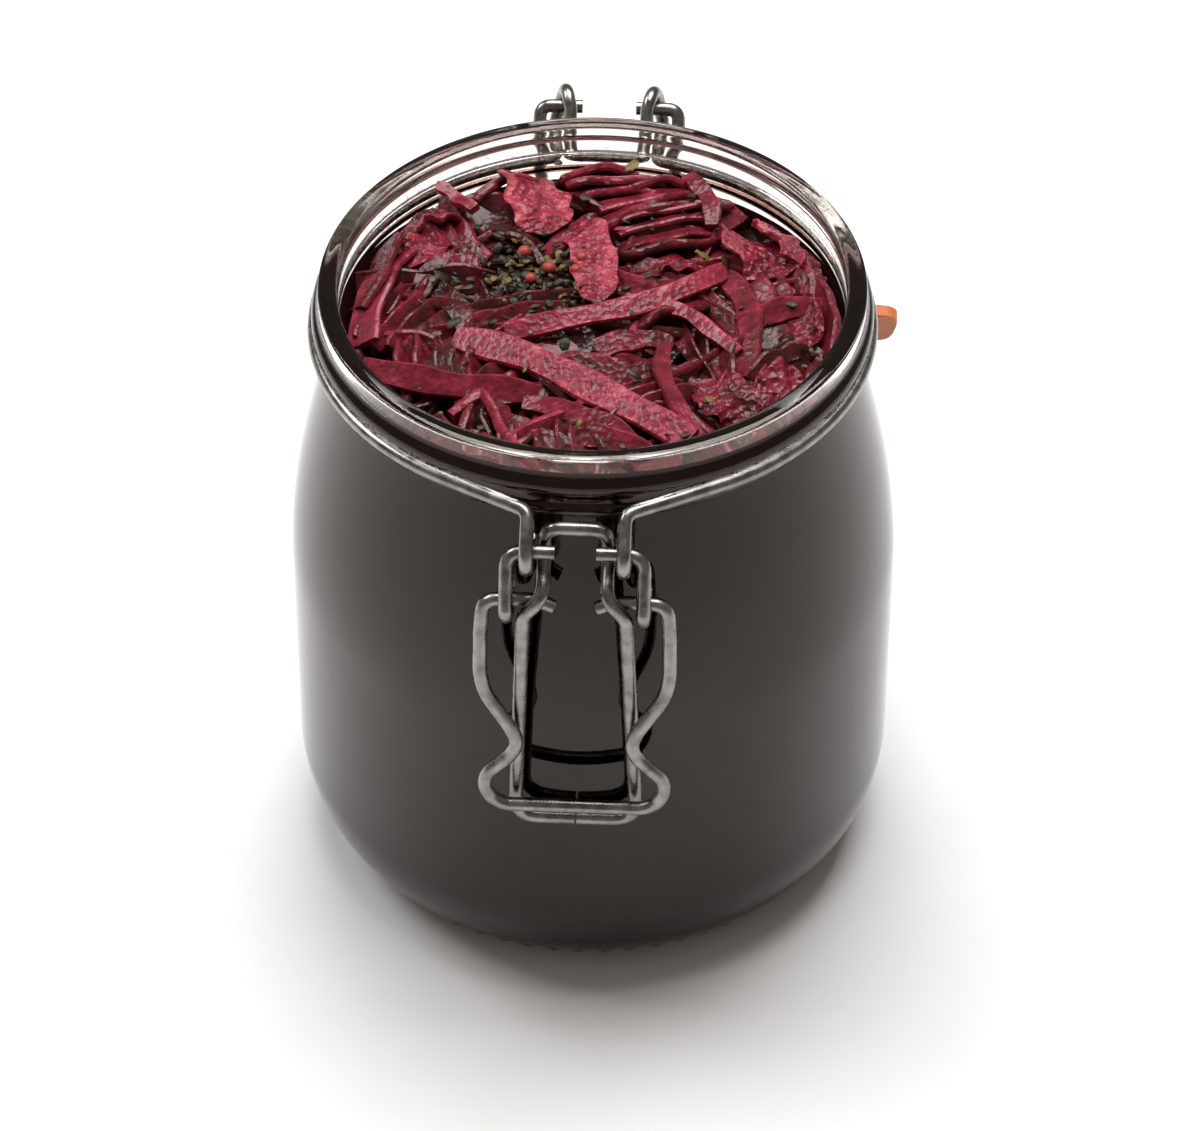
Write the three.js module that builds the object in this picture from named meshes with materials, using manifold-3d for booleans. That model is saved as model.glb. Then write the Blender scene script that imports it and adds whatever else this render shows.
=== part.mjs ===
// A preserving jar of red cabbage with a wire clamp, open, its glass lid hanging behind it.
// Millimetres, +Z up. The origin is the middle of the flat foot, the clamp faces -Y and
// the lid's hinge is at +Y.
import * as THREE from 'three';
import { mergeVertices } from 'three/addons/utils/BufferGeometryUtils.js';
import Module from 'manifold-3d';

const wasm = await Module();
wasm.setup();

const GAP = 0.35;
const ROUND_STEPS = 40;
const CURVE_STEPS = 3;

// Jar: radii and heights of its outline, from the foot up to the lip
const FOOT_RADIUS = 37;
const HEEL_HEIGHT = 20;
const BODY_RADIUS = 52.4;
const SHOULDER_HEIGHT = 60;
const SHOULDER_PULL = 16;
const NECK_RADIUS = 44.7;
const NECK_HEIGHT = 103.6;
const NECK_PULL = { r: 2.7, z: 12 };
const RIDGE_RADIUS = 46;
const RIDGE_HEIGHT = 105.2;
const RIDGE_WIDTH = 1.1;
const GROOVE_RADIUS = 45.2;
const GROOVE_HEIGHT = 107;
const GROOVE_WIDTH = 2.4;
const BEAD_RADIUS = 47.2;
const BEAD_HEIGHT = 110;
const BEAD_WIDTH = 2;
const LIP_RADIUS = 46;
const LIP_FOOT = 113;
const LIP_TOP = 116.7;
const LIP_EDGE = 1.2;
const MOUTH_RADIUS = 42.6;
const WALL = 3.2;
const BASE_THICKNESS = 5.5;

// Wire of the clamp and the hinge
const WIRE = 2.4;
const WIRE_SIDES = 8;
const BEND_STEPS = 3;
const BEND_RADIUS = 2.4;
const EYE_RADIUS = 2.85;
const EYE_STEP = Math.PI / 6;
const SLIGHT_BEND = Math.PI / 5;

// Neck wire: a ring in the jar's groove, with two hooks in front and two eyes behind
const RING_RADIUS = GROOVE_RADIUS + GAP + WIRE / 2;
const RING_HEIGHT = GROOVE_HEIGHT + GROOVE_WIDTH / 2;
const RING_STEP = THREE.MathUtils.degToRad(8);
const HOOK_X = 7.9;
const HOOK_KNEE_Y = -48.8;
const HOOK_TIP = Math.PI / 8;
const HINGE = { y: 56, z: 110.9 };
const EYE_OUTER_X = 9.4;
const EYE_INNER_X = 6.7;
const EYE_WRAP = Math.PI * 4 / 3;

// Clamp: the links turn on the upper pins, the lever on the lower pins
const UPPER_PIN = { y: -51.8, z: 102.1, end: 3.4 };
const LOWER_PIN = { y: -53.2, z: 92.9, end: 3.6, droop: 1.3 };
const LINK_X = 11.2;
const LINK_BEND = 1.8;
const LINK_TIP = Math.PI / 12;
const ARCH_X = 5.2;
const ARCH_RISE = 2.9;
const BAIL_X = { top: 8.4, bottom: 10.2 };
const BAIL_BOTTOM = { y: -54.7, z: 45.1 };
const BAIL_CLEAR = WIRE + GAP;
const BUTT_GAP = 0.3;
const LEVER_X = { corner: 15, bulge: 15.4, waist: 9.6, flare: 14.6 };
const LEVER_Z = { shoulder: 87, bulge: 76.5, waist: 65.5, flare: 57.5, bar: 51.2 };
const LEVER_WAVE_STEPS = 8;
const LEVER_Y = { shoulder: -54.3, bulge: -56.6, waist: -58.1, bar: -58.2 };

// Lid, sized as it sits when shut, and its seal
const SEAL_THICKNESS = 2.4;
const SEAL_RADIUS = 46.2;
const SEAL_HOLE = 39.5;
const SEAL_BOTTOM = LIP_TOP + GAP;
const TAB_REACH = 53.2;
const TAB_WIDTH = 11;
const TAB_ROUND = 3;
const TAB_ANGLE = THREE.MathUtils.degToRad(-10);
const LID_SEAT = SEAL_BOTTOM + SEAL_THICKNESS + GAP;
const LID_RADIUS = 46.5;
const LID_FLANGE = 3.3;
const LID_EDGE = 1;
const LID_PLUG_RADIUS = SEAL_HOLE - GAP;
const LID_PLUG_DROP = 2;
const LID_PLUG_HOLLOW = 1.4;
const LID_DOME = { foot: 41.6, shoulder: 39.6, rise: 3, crown: 6.6 };
const LID_WIRE_RADIUS = 43.2;
const LID_WIRE_HEIGHT = LID_SEAT + LID_FLANGE + GAP + WIRE / 2;
const LEG_X = 12.2;
const LEG_KNEE_Y = 46.9;
const PIN_END = 4.7;
const LID_WIRE_BEND = 2.1;
const LID_OPEN = THREE.MathUtils.degToRad(246.5);

// Cabbage: a core that fills the jar, with the shreds and bits that show on its top
const CORE_EDGE = 104.6;
const CORE_CROWN = 106.6;
const HEAP_CLEAR = 0.9;
const HEAP_RADIUS = MOUTH_RADIUS - HEAP_CLEAR;
const HEAP_TOP = 111.8;
const SHRED_STEPS = 4;
const SHRED_SEED = 41;
const SHRED_COUNT = 18;
const SHRED_LENGTH = { least: 14, most: 30 };
const SHRED_WIDTH = { least: 2.8, most: 5.2 };
const SHRED_THICKNESS = 1.5;
const SHRED_TAPER = 0.55;
const SHRED_ARCH = 1.6;
const SHRED_HEIGHT = { least: CORE_EDGE + 1.4, most: CORE_CROWN + 2 };
const SHRED_BOW = { least: -4, most: 4 };
const SHRED_ROLL = { least: -0.45, most: 0.45 };
const INWARD_STEP = 0.96;
const LEAF_COUNT = 7;
const LEAF_LENGTH = { least: 12, most: 18 };
const LEAF_WIDTH = { least: 7, most: 10 };
const BIT_COUNT = 10;
const BIT_RADIUS = { least: 0.9, most: 1.6 };
const BIT_STRETCH = 1.4;
const BIT_FLATNESS = 0.8;
const BIT_HEIGHT = { least: CORE_CROWN + 0.4, most: CORE_CROWN + 1.6 };
const BIT_PATCH = { x: -10, y: 10, radius: 13 };

// The longest shreds on top: both ends in plan, width, height of the middle and sideways bow
const LONG_SHREDS = [
  { from: [-23, -4], to: [16, -30], width: 5.4, height: 109.6, bow: 1.5 },
  { from: [-15, -3], to: [22, 12], width: 4.6, height: 110.2, bow: -2 },
  { from: [-36, -11], to: [-8, -24], width: 4.4, height: 107.6, bow: 2 },
  { from: [20, -16], to: [5, 2], width: 4, height: 109.3, bow: -4 },
  { from: [26, 2], to: [23, -22], width: 4.6, height: 108.4, bow: 3 },
  { from: [-33, 20], to: [-37, -6], width: 6.5, height: 108.2, bow: -2 },
  { from: [-27, 27], to: [-20, 3], width: 5.5, height: 108.6, bow: 3 },
  { from: [8, 30], to: [30, 16], width: 5.8, height: 108.8, bow: 3 },
  { from: [35, 12], to: [36, -13], width: 6, height: 107.6, bow: 2 },
  { from: [-10, 33], to: [-4, 8], width: 6.2, height: 109.2, bow: -2 },
];

const GLASS = new THREE.MeshStandardMaterial({ color: 0xdfe4e3, roughness: 0.05, metalness: 0 });
const CABBAGE = new THREE.MeshStandardMaterial({ color: 0x7d2c38, roughness: 0.35, metalness: 0 });
const STEEL = new THREE.MeshStandardMaterial({ color: 0xa9aaa8, roughness: 0.4, metalness: 1 });
const RUBBER = new THREE.MeshStandardMaterial({ color: 0xe0793f, roughness: 0.6, metalness: 0 });

const DRAW = { factor: 1664525, step: 1013904223, range: 2 ** 32 };

// Repeatable numbers from 0 to 1
function seededDraws(seed) {
  let state = seed;
  return () => {
    state = (state * DRAW.factor + DRAW.step) % DRAW.range;
    return state / DRAW.range;
  };
}

function between(draw, range) {
  return THREE.MathUtils.lerp(range.least, range.most, draw());
}

// A solid of revolution about +Z from a profile of (radius, height) points
function turned(points) {
  return new THREE.LatheGeometry(points, ROUND_STEPS).rotateX(Math.PI / 2);
}

// The inner wall of the jar, from the middle of its floor up to a height in the mouth
function innerWall(inset, top) {
  const radius = BODY_RADIUS - WALL - inset;
  const mouth = MOUTH_RADIUS - inset;
  const floor = BASE_THICKNESS + inset;
  const heelRadius = FOOT_RADIUS - WALL;
  const wall = new THREE.Path();
  wall.moveTo(0, floor);
  wall.lineTo(heelRadius, floor);
  wall.absellipse(heelRadius, HEEL_HEIGHT, radius - heelRadius, HEEL_HEIGHT - floor, -Math.PI / 2, 0, false);
  wall.lineTo(radius, SHOULDER_HEIGHT);
  wall.bezierCurveTo(
    radius, SHOULDER_HEIGHT + SHOULDER_PULL,
    mouth + NECK_PULL.r, NECK_HEIGHT - NECK_PULL.z,
    mouth, NECK_HEIGHT,
  );
  wall.lineTo(mouth, top);
  return wall.getPoints(CURVE_STEPS);
}

// The outer wall of the jar, from the middle of its foot to the inner edge of its lip
function outerWall() {
  const wall = new THREE.Path();
  wall.moveTo(0, 0);
  wall.lineTo(FOOT_RADIUS, 0);
  wall.absellipse(FOOT_RADIUS, HEEL_HEIGHT, BODY_RADIUS - FOOT_RADIUS, HEEL_HEIGHT, -Math.PI / 2, 0, false);
  wall.lineTo(BODY_RADIUS, SHOULDER_HEIGHT);
  wall.bezierCurveTo(
    BODY_RADIUS, SHOULDER_HEIGHT + SHOULDER_PULL,
    NECK_RADIUS + NECK_PULL.r, NECK_HEIGHT - NECK_PULL.z,
    NECK_RADIUS, NECK_HEIGHT,
  );
  wall.lineTo(RIDGE_RADIUS, RIDGE_HEIGHT);
  wall.lineTo(RIDGE_RADIUS, RIDGE_HEIGHT + RIDGE_WIDTH);
  wall.lineTo(GROOVE_RADIUS, GROOVE_HEIGHT);
  wall.lineTo(GROOVE_RADIUS, GROOVE_HEIGHT + GROOVE_WIDTH);
  wall.lineTo(BEAD_RADIUS, BEAD_HEIGHT);
  wall.lineTo(BEAD_RADIUS, BEAD_HEIGHT + BEAD_WIDTH);
  wall.lineTo(LIP_RADIUS, LIP_FOOT);
  wall.lineTo(LIP_RADIUS, LIP_TOP - LIP_EDGE);
  wall.quadraticCurveTo(LIP_RADIUS, LIP_TOP, LIP_RADIUS - LIP_EDGE, LIP_TOP);
  wall.lineTo(MOUTH_RADIUS + LIP_EDGE, LIP_TOP);
  wall.quadraticCurveTo(MOUTH_RADIUS, LIP_TOP, MOUTH_RADIUS, LIP_TOP - LIP_EDGE);
  return wall.getPoints(CURVE_STEPS);
}

function jarGlass() {
  const inner = innerWall(0, LIP_TOP - LIP_EDGE).reverse();
  return turned([...outerWall(), ...inner.slice(1)]);
}

// A run of wire with a bend of one radius at each corner between its two ends
class BentWire extends THREE.Curve {
  constructor(corners, radius = BEND_RADIUS) {
    super();
    this.stops = [corners[0]];
    for (let i = 1; i < corners.length - 1; i += 1) {
      this.stops.push(...BentWire.bend(corners[i - 1], corners[i], corners[i + 1], radius));
    }
    this.stops.push(corners.at(-1));
  }

  static bend(before, corner, after, radius) {
    const back = before.clone().sub(corner);
    const ahead = after.clone().sub(corner);
    const half = back.angleTo(ahead) / 2;
    const reach = Math.min(radius / Math.tan(half), back.length() / 2, ahead.length() / 2);
    const start = corner.clone().addScaledVector(back.normalize(), reach);
    const end = corner.clone().addScaledVector(ahead.normalize(), reach);
    if (Math.PI - 2 * half < SLIGHT_BEND) return [corner];
    return new THREE.QuadraticBezierCurve3(start, corner, end).getPoints(BEND_STEPS);
  }

  get steps() {
    return this.stops.length - 1;
  }

  getPoint(t, target = new THREE.Vector3()) {
    const place = t * this.steps;
    const i = Math.min(Math.floor(place), this.steps - 1);
    return target.lerpVectors(this.stops[i], this.stops[i + 1], place - i);
  }

  getPointAt(u, target) {
    return this.getPoint(u, target);
  }

  getTangentAt(u, target) {
    return this.getTangent(u, target);
  }
}

function wireAlong(corners, radius) {
  const path = new BentWire(corners, radius);
  const section = new THREE.Shape();
  section.absarc(0, 0, WIRE / 2, 0, 2 * Math.PI);
  return new THREE.ExtrudeGeometry(section, {
    steps: path.steps,
    curveSegments: WIRE_SIDES / 2,
    bevelEnabled: false,
    extrudePath: path,
  });
}

function mirrored(points) {
  return points.map((p) => new THREE.Vector3(-p.x, p.y, p.z)).reverse();
}

// Points round an axis along X, sliding from one x to another as they turn
function eyeTurn(axis, from, to, xFrom, xTo = xFrom) {
  const count = Math.ceil(Math.abs(to - from) / EYE_STEP);
  return Array.from({ length: count + 1 }, (_, i) => {
    const angle = THREE.MathUtils.lerp(from, to, i / count);
    const x = THREE.MathUtils.lerp(xFrom, xTo, i / count);
    return new THREE.Vector3(x, axis.y + EYE_RADIUS * Math.cos(angle), axis.z + EYE_RADIUS * Math.sin(angle));
  });
}

// Points on a level ring about +Z, by the angle from +Y towards -X
function ringTurn(radius, height, from, to) {
  const count = Math.ceil(Math.abs(to - from) / RING_STEP);
  return Array.from({ length: count + 1 }, (_, i) => {
    const angle = THREE.MathUtils.lerp(from, to, i / count);
    return new THREE.Vector3(-radius * Math.sin(angle), radius * Math.cos(angle), height);
  });
}

// Where a straight run from a point meets the turn round an axis, on its front
function tangentAngle(axis, point) {
  const [away, up] = [point.y - axis.y, point.z - axis.z];
  return Math.atan2(up, away) + Math.acos(EYE_RADIUS / Math.hypot(away, up));
}

// The left half runs from the tip of its hook, round the neck and through its eye to the back
function neckWire() {
  const knee = new THREE.Vector3(-HOOK_X, HOOK_KNEE_Y, RING_HEIGHT);
  const hook = eyeTurn(UPPER_PIN, HOOK_TIP, tangentAngle(UPPER_PIN, knee) - 2 * Math.PI, -HOOK_X);
  const kneeAngle = Math.atan2(HOOK_X, -HOOK_KNEE_Y);
  const leave = kneeAngle + Math.acos(RING_RADIUS / Math.hypot(HOOK_X, HOOK_KNEE_Y));
  const arrive = Math.asin((EYE_OUTER_X + BEND_RADIUS) / RING_RADIUS);
  const ring = ringTurn(RING_RADIUS, RING_HEIGHT, Math.PI - leave, arrive);
  const turnOff = Math.sqrt(RING_RADIUS ** 2 - EYE_OUTER_X ** 2);
  const eye = eyeTurn(HINGE, -Math.PI / 2, -Math.PI / 2 + EYE_WRAP, -EYE_OUTER_X, -EYE_INNER_X);
  const half = [
    ...hook,
    knee,
    ...ring,
    new THREE.Vector3(-EYE_OUTER_X, turnOff, RING_HEIGHT),
    ...eye,
    new THREE.Vector3(-EYE_INNER_X, HINGE.y - 2 * EYE_RADIUS, RING_HEIGHT),
    new THREE.Vector3(-EYE_INNER_X, RING_RADIUS, RING_HEIGHT),
  ];
  return wireAlong([...half, ...mirrored(half)]);
}

// One link, side -1 or 1: an upper pin, a short arm and the hook that carries the lever
function link(side) {
  const hook = eyeTurn(LOWER_PIN, Math.PI, 2 * Math.PI + LINK_TIP, side * LINK_X);
  const corners = [
    new THREE.Vector3(side * UPPER_PIN.end, UPPER_PIN.y, UPPER_PIN.z),
    new THREE.Vector3(side * LINK_X, UPPER_PIN.y, UPPER_PIN.z),
    ...hook,
  ];
  return wireAlong(corners, LINK_BEND);
}

// The ring that holds the lid down: it passes behind the upper pins and before the lower pins
function bailRing() {
  const archY = UPPER_PIN.y + BAIL_CLEAR;
  const frontY = LOWER_PIN.y - BAIL_CLEAR;
  const half = [
    new THREE.Vector3(BUTT_GAP / 2, BAIL_BOTTOM.y, BAIL_BOTTOM.z),
    new THREE.Vector3(BAIL_X.bottom, BAIL_BOTTOM.y, BAIL_BOTTOM.z),
    new THREE.Vector3(BAIL_X.top, frontY, LOWER_PIN.z - WIRE / 2),
    new THREE.Vector3(ARCH_X, frontY, LOWER_PIN.z + BAIL_CLEAR),
    new THREE.Vector3(ARCH_X, archY, UPPER_PIN.z - BAIL_CLEAR - GAP),
    new THREE.Vector3(ARCH_X, archY, UPPER_PIN.z + ARCH_RISE),
  ];
  return wireAlong([...half, ...mirrored(half)]);
}

// The wavy frame that the hand lifts, with its two ends turned in as the lower pins
function lever() {
  const wave = new THREE.CatmullRomCurve3([
    new THREE.Vector3(-LEVER_X.bulge, LEVER_Y.shoulder, LEVER_Z.shoulder),
    new THREE.Vector3(-LEVER_X.bulge, LEVER_Y.bulge, LEVER_Z.bulge),
    new THREE.Vector3(-LEVER_X.waist, LEVER_Y.waist, LEVER_Z.waist),
    new THREE.Vector3(-LEVER_X.flare, LEVER_Y.bar, LEVER_Z.flare),
  ]);
  const half = [
    new THREE.Vector3(-LOWER_PIN.end, LOWER_PIN.y, LOWER_PIN.z - LOWER_PIN.droop),
    new THREE.Vector3(-ARCH_X - WIRE / 2, LOWER_PIN.y, LOWER_PIN.z),
    new THREE.Vector3(-LEVER_X.corner, LOWER_PIN.y, LOWER_PIN.z),
    ...wave.getPoints(LEVER_WAVE_STEPS),
    new THREE.Vector3(-LEVER_X.corner, LEVER_Y.bar, LEVER_Z.bar),
  ];
  return wireAlong([...half, ...mirrored(half)]);
}

function lidGlass() {
  const flangeTop = LID_SEAT + LID_FLANGE;
  const half = new THREE.Path();
  half.moveTo(0, LID_SEAT - LID_PLUG_DROP + LID_PLUG_HOLLOW);
  half.lineTo(LID_PLUG_RADIUS - 2 * LID_PLUG_DROP, LID_SEAT - LID_PLUG_DROP);
  half.lineTo(LID_PLUG_RADIUS, LID_SEAT - LID_PLUG_DROP);
  half.lineTo(LID_PLUG_RADIUS, LID_SEAT);
  half.lineTo(LID_RADIUS - LID_EDGE, LID_SEAT);
  half.quadraticCurveTo(LID_RADIUS, LID_SEAT, LID_RADIUS, LID_SEAT + LID_EDGE);
  half.lineTo(LID_RADIUS, flangeTop - LID_EDGE);
  half.quadraticCurveTo(LID_RADIUS, flangeTop, LID_RADIUS - LID_EDGE, flangeTop);
  half.lineTo(LID_DOME.foot, flangeTop);
  half.quadraticCurveTo(
    LID_DOME.foot, flangeTop + LID_DOME.rise,
    LID_DOME.shoulder, flangeTop + LID_DOME.rise,
  );
  half.quadraticCurveTo(LID_DOME.shoulder / 2, flangeTop + LID_DOME.crown, 0, flangeTop + LID_DOME.crown);
  return turned(half.getPoints(CURVE_STEPS));
}

// A flat ring with one pull tab, its edge following the tab's round corners
function sealRing() {
  const root = Math.asin(TAB_WIDTH / 2 / SEAL_RADIUS);
  const tip = TAB_REACH - TAB_ROUND;
  const side = TAB_WIDTH / 2 - TAB_ROUND;
  const outline = new THREE.Shape();
  outline.absarc(0, 0, SEAL_RADIUS, root, 2 * Math.PI - root, false);
  outline.absarc(tip, -side, TAB_ROUND, -Math.PI / 2, 0, false);
  outline.absarc(tip, side, TAB_ROUND, 0, Math.PI / 2, false);
  outline.closePath();
  outline.holes.push(new THREE.Path().absarc(0, 0, SEAL_HOLE, 0, 2 * Math.PI, true));
  const ring = new THREE.ExtrudeGeometry(outline, {
    depth: SEAL_THICKNESS,
    curveSegments: ROUND_STEPS / 2,
    bevelEnabled: false,
  });
  return ring.rotateZ(TAB_ANGLE).translate(0, 0, SEAL_BOTTOM);
}

// The left half runs from the end of its hinge pin, up its leg and round the lid to the front
function lidWire() {
  const arrive = Math.asin((LEG_X + BEND_RADIUS) / LID_WIRE_RADIUS);
  const turnOff = Math.sqrt(LID_WIRE_RADIUS ** 2 - LEG_X ** 2);
  const half = [
    new THREE.Vector3(-PIN_END, HINGE.y, HINGE.z),
    new THREE.Vector3(-LEG_X, HINGE.y, HINGE.z),
    new THREE.Vector3(-LEG_X, LEG_KNEE_Y, LID_WIRE_HEIGHT),
    new THREE.Vector3(-LEG_X, turnOff, LID_WIRE_HEIGHT),
    ...ringTurn(LID_WIRE_RADIUS, LID_WIRE_HEIGHT, arrive, Math.PI),
  ];
  return wireAlong([...half, ...mirrored(half.slice(0, -1))], LID_WIRE_BEND);
}

// A closed mesh as a solid that can be joined to others
function solidOf(geometry) {
  const bare = geometry.clone();
  bare.deleteAttribute('normal');
  bare.deleteAttribute('uv');
  const merged = mergeVertices(bare);
  const corners = merged.index.array;
  const triVerts = [];
  for (let i = 0; i < corners.length; i += 3) {
    const [a, b, c] = [corners[i], corners[i + 1], corners[i + 2]];
    if (a !== b && b !== c && c !== a) triVerts.push(a, b, c);
  }
  const mesh = new wasm.Mesh({
    numProp: 3,
    vertProperties: new Float32Array(merged.attributes.position.array),
    triVerts: new Uint32Array(triVerts),
  });
  return new wasm.Manifold(mesh);
}

function geometryOf(solid) {
  const mesh = solid.getMesh();
  const geometry = new THREE.BufferGeometry();
  geometry.setAttribute('position', new THREE.BufferAttribute(mesh.vertProperties, 3));
  geometry.setIndex(new THREE.BufferAttribute(mesh.triVerts, 1));
  geometry.computeVertexNormals();
  return geometry;
}

function cabbageCore() {
  const crown = new THREE.Path();
  crown.moveTo(MOUTH_RADIUS - GAP, CORE_EDGE);
  crown.quadraticCurveTo(MOUTH_RADIUS / 2, CORE_CROWN, 0, CORE_CROWN);
  const top = crown.getPoints(CURVE_STEPS);
  return turned([...innerWall(GAP, CORE_EDGE), ...top.slice(1)]);
}

// A strip between two places in plan: bowed sideways, arched, rolled and narrower at its ends
function shred({ from, to, width, height, bow, roll = 0 }) {
  const start = new THREE.Vector2(...from);
  const along = new THREE.Vector2(...to).sub(start);
  const across = new THREE.Vector2(-along.y, along.x).normalize();
  const strip = new THREE.BoxGeometry(1, width, SHRED_THICKNESS, SHRED_STEPS, 1, 1);
  const place = strip.attributes.position;
  for (let i = 0; i < place.count; i += 1) {
    const t = place.getX(i) + 0.5;
    const hump = 4 * t * (1 - t);
    const side = place.getY(i) * THREE.MathUtils.lerp(SHRED_TAPER, 1, hump);
    const aside = side * Math.cos(roll) + bow * hump;
    const x = start.x + along.x * t + across.x * aside;
    const y = start.y + along.y * t + across.y * aside;
    const lift = place.getZ(i) + side * Math.sin(roll) - SHRED_ARCH * (1 - hump);
    place.setXYZ(i, x, y, height + lift);
  }
  return strip;
}

function fitsInMouth(geometry) {
  const place = geometry.attributes.position;
  for (let i = 0; i < place.count; i += 1) {
    if (Math.hypot(place.getX(i), place.getY(i)) > HEAP_RADIUS) return false;
    if (place.getZ(i) > HEAP_TOP) return false;
  }
  return true;
}

// A strip of a drawn size and heading, moved towards the middle until it lies inside the mouth
function drawnShred(draw, lengths, widths, spot) {
  const turn = draw() * 2 * Math.PI;
  let middle = HEAP_RADIUS * Math.sqrt(spot);
  let strip;
  do {
    const angle = draw() * Math.PI;
    const half = between(draw, lengths) / 2;
    const [x, y] = [middle * Math.cos(turn), middle * Math.sin(turn)];
    const [dx, dy] = [half * Math.cos(angle), half * Math.sin(angle)];
    strip = shred({
      from: [x - dx, y - dy],
      to: [x + dx, y + dy],
      width: between(draw, widths),
      height: between(draw, SHRED_HEIGHT),
      bow: between(draw, SHRED_BOW),
      roll: between(draw, SHRED_ROLL),
    });
    middle *= INWARD_STEP;
  } while (!fitsInMouth(strip) && middle > SHRED_WIDTH.least);
  return strip;
}

// Seeds and herb flakes lie in one patch, half sunk in the shreds
function herbBit(draw) {
  const angle = draw() * 2 * Math.PI;
  const reach = BIT_PATCH.radius * Math.sqrt(draw());
  const bit = new THREE.OctahedronGeometry(between(draw, BIT_RADIUS));
  bit.scale(BIT_STRETCH, 1, BIT_FLATNESS).rotateZ(angle);
  const [x, y] = [BIT_PATCH.x + reach * Math.cos(angle), BIT_PATCH.y + reach * Math.sin(angle)];
  return bit.translate(x, y, between(draw, BIT_HEIGHT));
}

function redCabbage() {
  const draw = seededDraws(SHRED_SEED);
  const pieces = LONG_SHREDS.map(shred);
  for (let i = 0; i < SHRED_COUNT; i += 1) {
    pieces.push(drawnShred(draw, SHRED_LENGTH, SHRED_WIDTH, (i + 0.5) / SHRED_COUNT));
  }
  for (let i = 0; i < LEAF_COUNT; i += 1) {
    pieces.push(drawnShred(draw, LEAF_LENGTH, LEAF_WIDTH, (i + 0.5) / LEAF_COUNT));
  }
  for (let i = 0; i < BIT_COUNT; i += 1) pieces.push(herbBit(draw));
  const heap = pieces.reduce((whole, piece) => whole.add(solidOf(piece)), solidOf(cabbageCore()));
  const largest = heap.decompose().sort((a, b) => b.volume() - a.volume())[0];
  return geometryOf(largest);
}

function named(name, geometry, material) {
  const mesh = new THREE.Mesh(geometry, material);
  mesh.name = name;
  return mesh;
}

// The lid, its wire and its seal turn together about the hinge behind the jar
function openLid() {
  const lid = new THREE.Group();
  const pieces = [
    named('lid_glass', lidGlass(), GLASS),
    named('lid_wire', lidWire(), STEEL),
    named('seal_ring', sealRing(), RUBBER),
  ];
  for (const piece of pieces) {
    piece.position.set(0, -HINGE.y, -HINGE.z);
    lid.add(piece);
  }
  lid.position.set(0, HINGE.y, HINGE.z);
  lid.rotation.x = -LID_OPEN;
  return lid;
}

function clamp() {
  const pieces = new THREE.Group();
  pieces.add(named('link_left', link(-1), STEEL));
  pieces.add(named('link_right', link(1), STEEL));
  pieces.add(named('bail_ring', bailRing(), STEEL));
  pieces.add(named('lever', lever(), STEEL));
  return pieces;
}

const jar = new THREE.Group();
jar.add(named('jar_glass', jarGlass(), GLASS));
jar.add(named('red_cabbage', redCabbage(), CABBAGE));
jar.add(named('neck_wire', neckWire(), STEEL));
jar.add(clamp());
jar.add(openLid());

export default jar;
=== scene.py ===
"""A preserving jar of red cabbage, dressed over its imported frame.

Sizes are millimetres in the dataclasses and become metres where a mesh is made. The jar stands
at the origin, its clamp faces -Y and its lid hangs behind it at +Y.
"""

import logging
import math
import random
from collections.abc import Callable, Sequence
from dataclasses import dataclass, field, replace
from enum import Enum
from typing import Any

import bpy
import numpy as np
from mathutils import Matrix, Vector


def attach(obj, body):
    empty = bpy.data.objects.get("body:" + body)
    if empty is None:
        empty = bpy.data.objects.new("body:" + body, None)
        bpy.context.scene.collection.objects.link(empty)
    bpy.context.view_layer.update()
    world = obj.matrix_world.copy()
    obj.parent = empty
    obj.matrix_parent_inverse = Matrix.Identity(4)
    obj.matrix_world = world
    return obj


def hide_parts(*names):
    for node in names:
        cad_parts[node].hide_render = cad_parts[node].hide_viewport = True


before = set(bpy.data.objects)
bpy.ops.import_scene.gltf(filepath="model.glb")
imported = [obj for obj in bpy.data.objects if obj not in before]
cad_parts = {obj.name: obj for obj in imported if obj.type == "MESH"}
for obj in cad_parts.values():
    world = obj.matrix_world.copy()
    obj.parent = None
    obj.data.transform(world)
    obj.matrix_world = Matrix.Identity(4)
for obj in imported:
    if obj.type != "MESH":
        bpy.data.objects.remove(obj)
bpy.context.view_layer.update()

MM = 0.001
GAP = 0.35
MERGE_DISTANCE = 1e-6
SMOOTH_TURNED = 0.7
SMOOTH_WIRE = 0.9
SMOOTH_CUT = 0.6
CORNER_CUTS = 3
TONE = "tone"
NOISE = {"Detail": 4.0, "Roughness": 0.55}
NOISE_SPAN = {"From Min": 0.3, "From Max": 0.7}
LOG = logging.getLogger("red_cabbage_jar")

Pair = tuple[float, float]
Points = list[Vector]
Face = tuple[int, ...]
Stops = tuple[tuple[float, str], ...]


class Body(Enum):
    """The moving bodies that a piece can ride on."""

    JAR = "jar"
    CLASP = "clasp"
    LEVER = "lever"
    LID = "lid"


class Slot(Enum):
    """The record's material slots."""

    GLASS = "jar_glass"
    CABBAGE = "red_cabbage"
    WIRE = "wire"
    SEAL = "seal"


def linear(hex_colour: str) -> tuple[float, float, float, float]:
    """Turn an sRGB hex colour into linear light.

    Args:
        hex_colour: six hex digits after a hash sign.

    Returns:
        Red, green, blue and an alpha of one.
    """
    parts = [int(hex_colour[i:i + 2], 16) / 255 for i in (1, 3, 5)]
    red, green, blue = (p / 12.92 if p <= 0.04045 else ((p + 0.055) / 1.055) ** 2.4 for p in parts)
    return red, green, blue, 1.0


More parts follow.
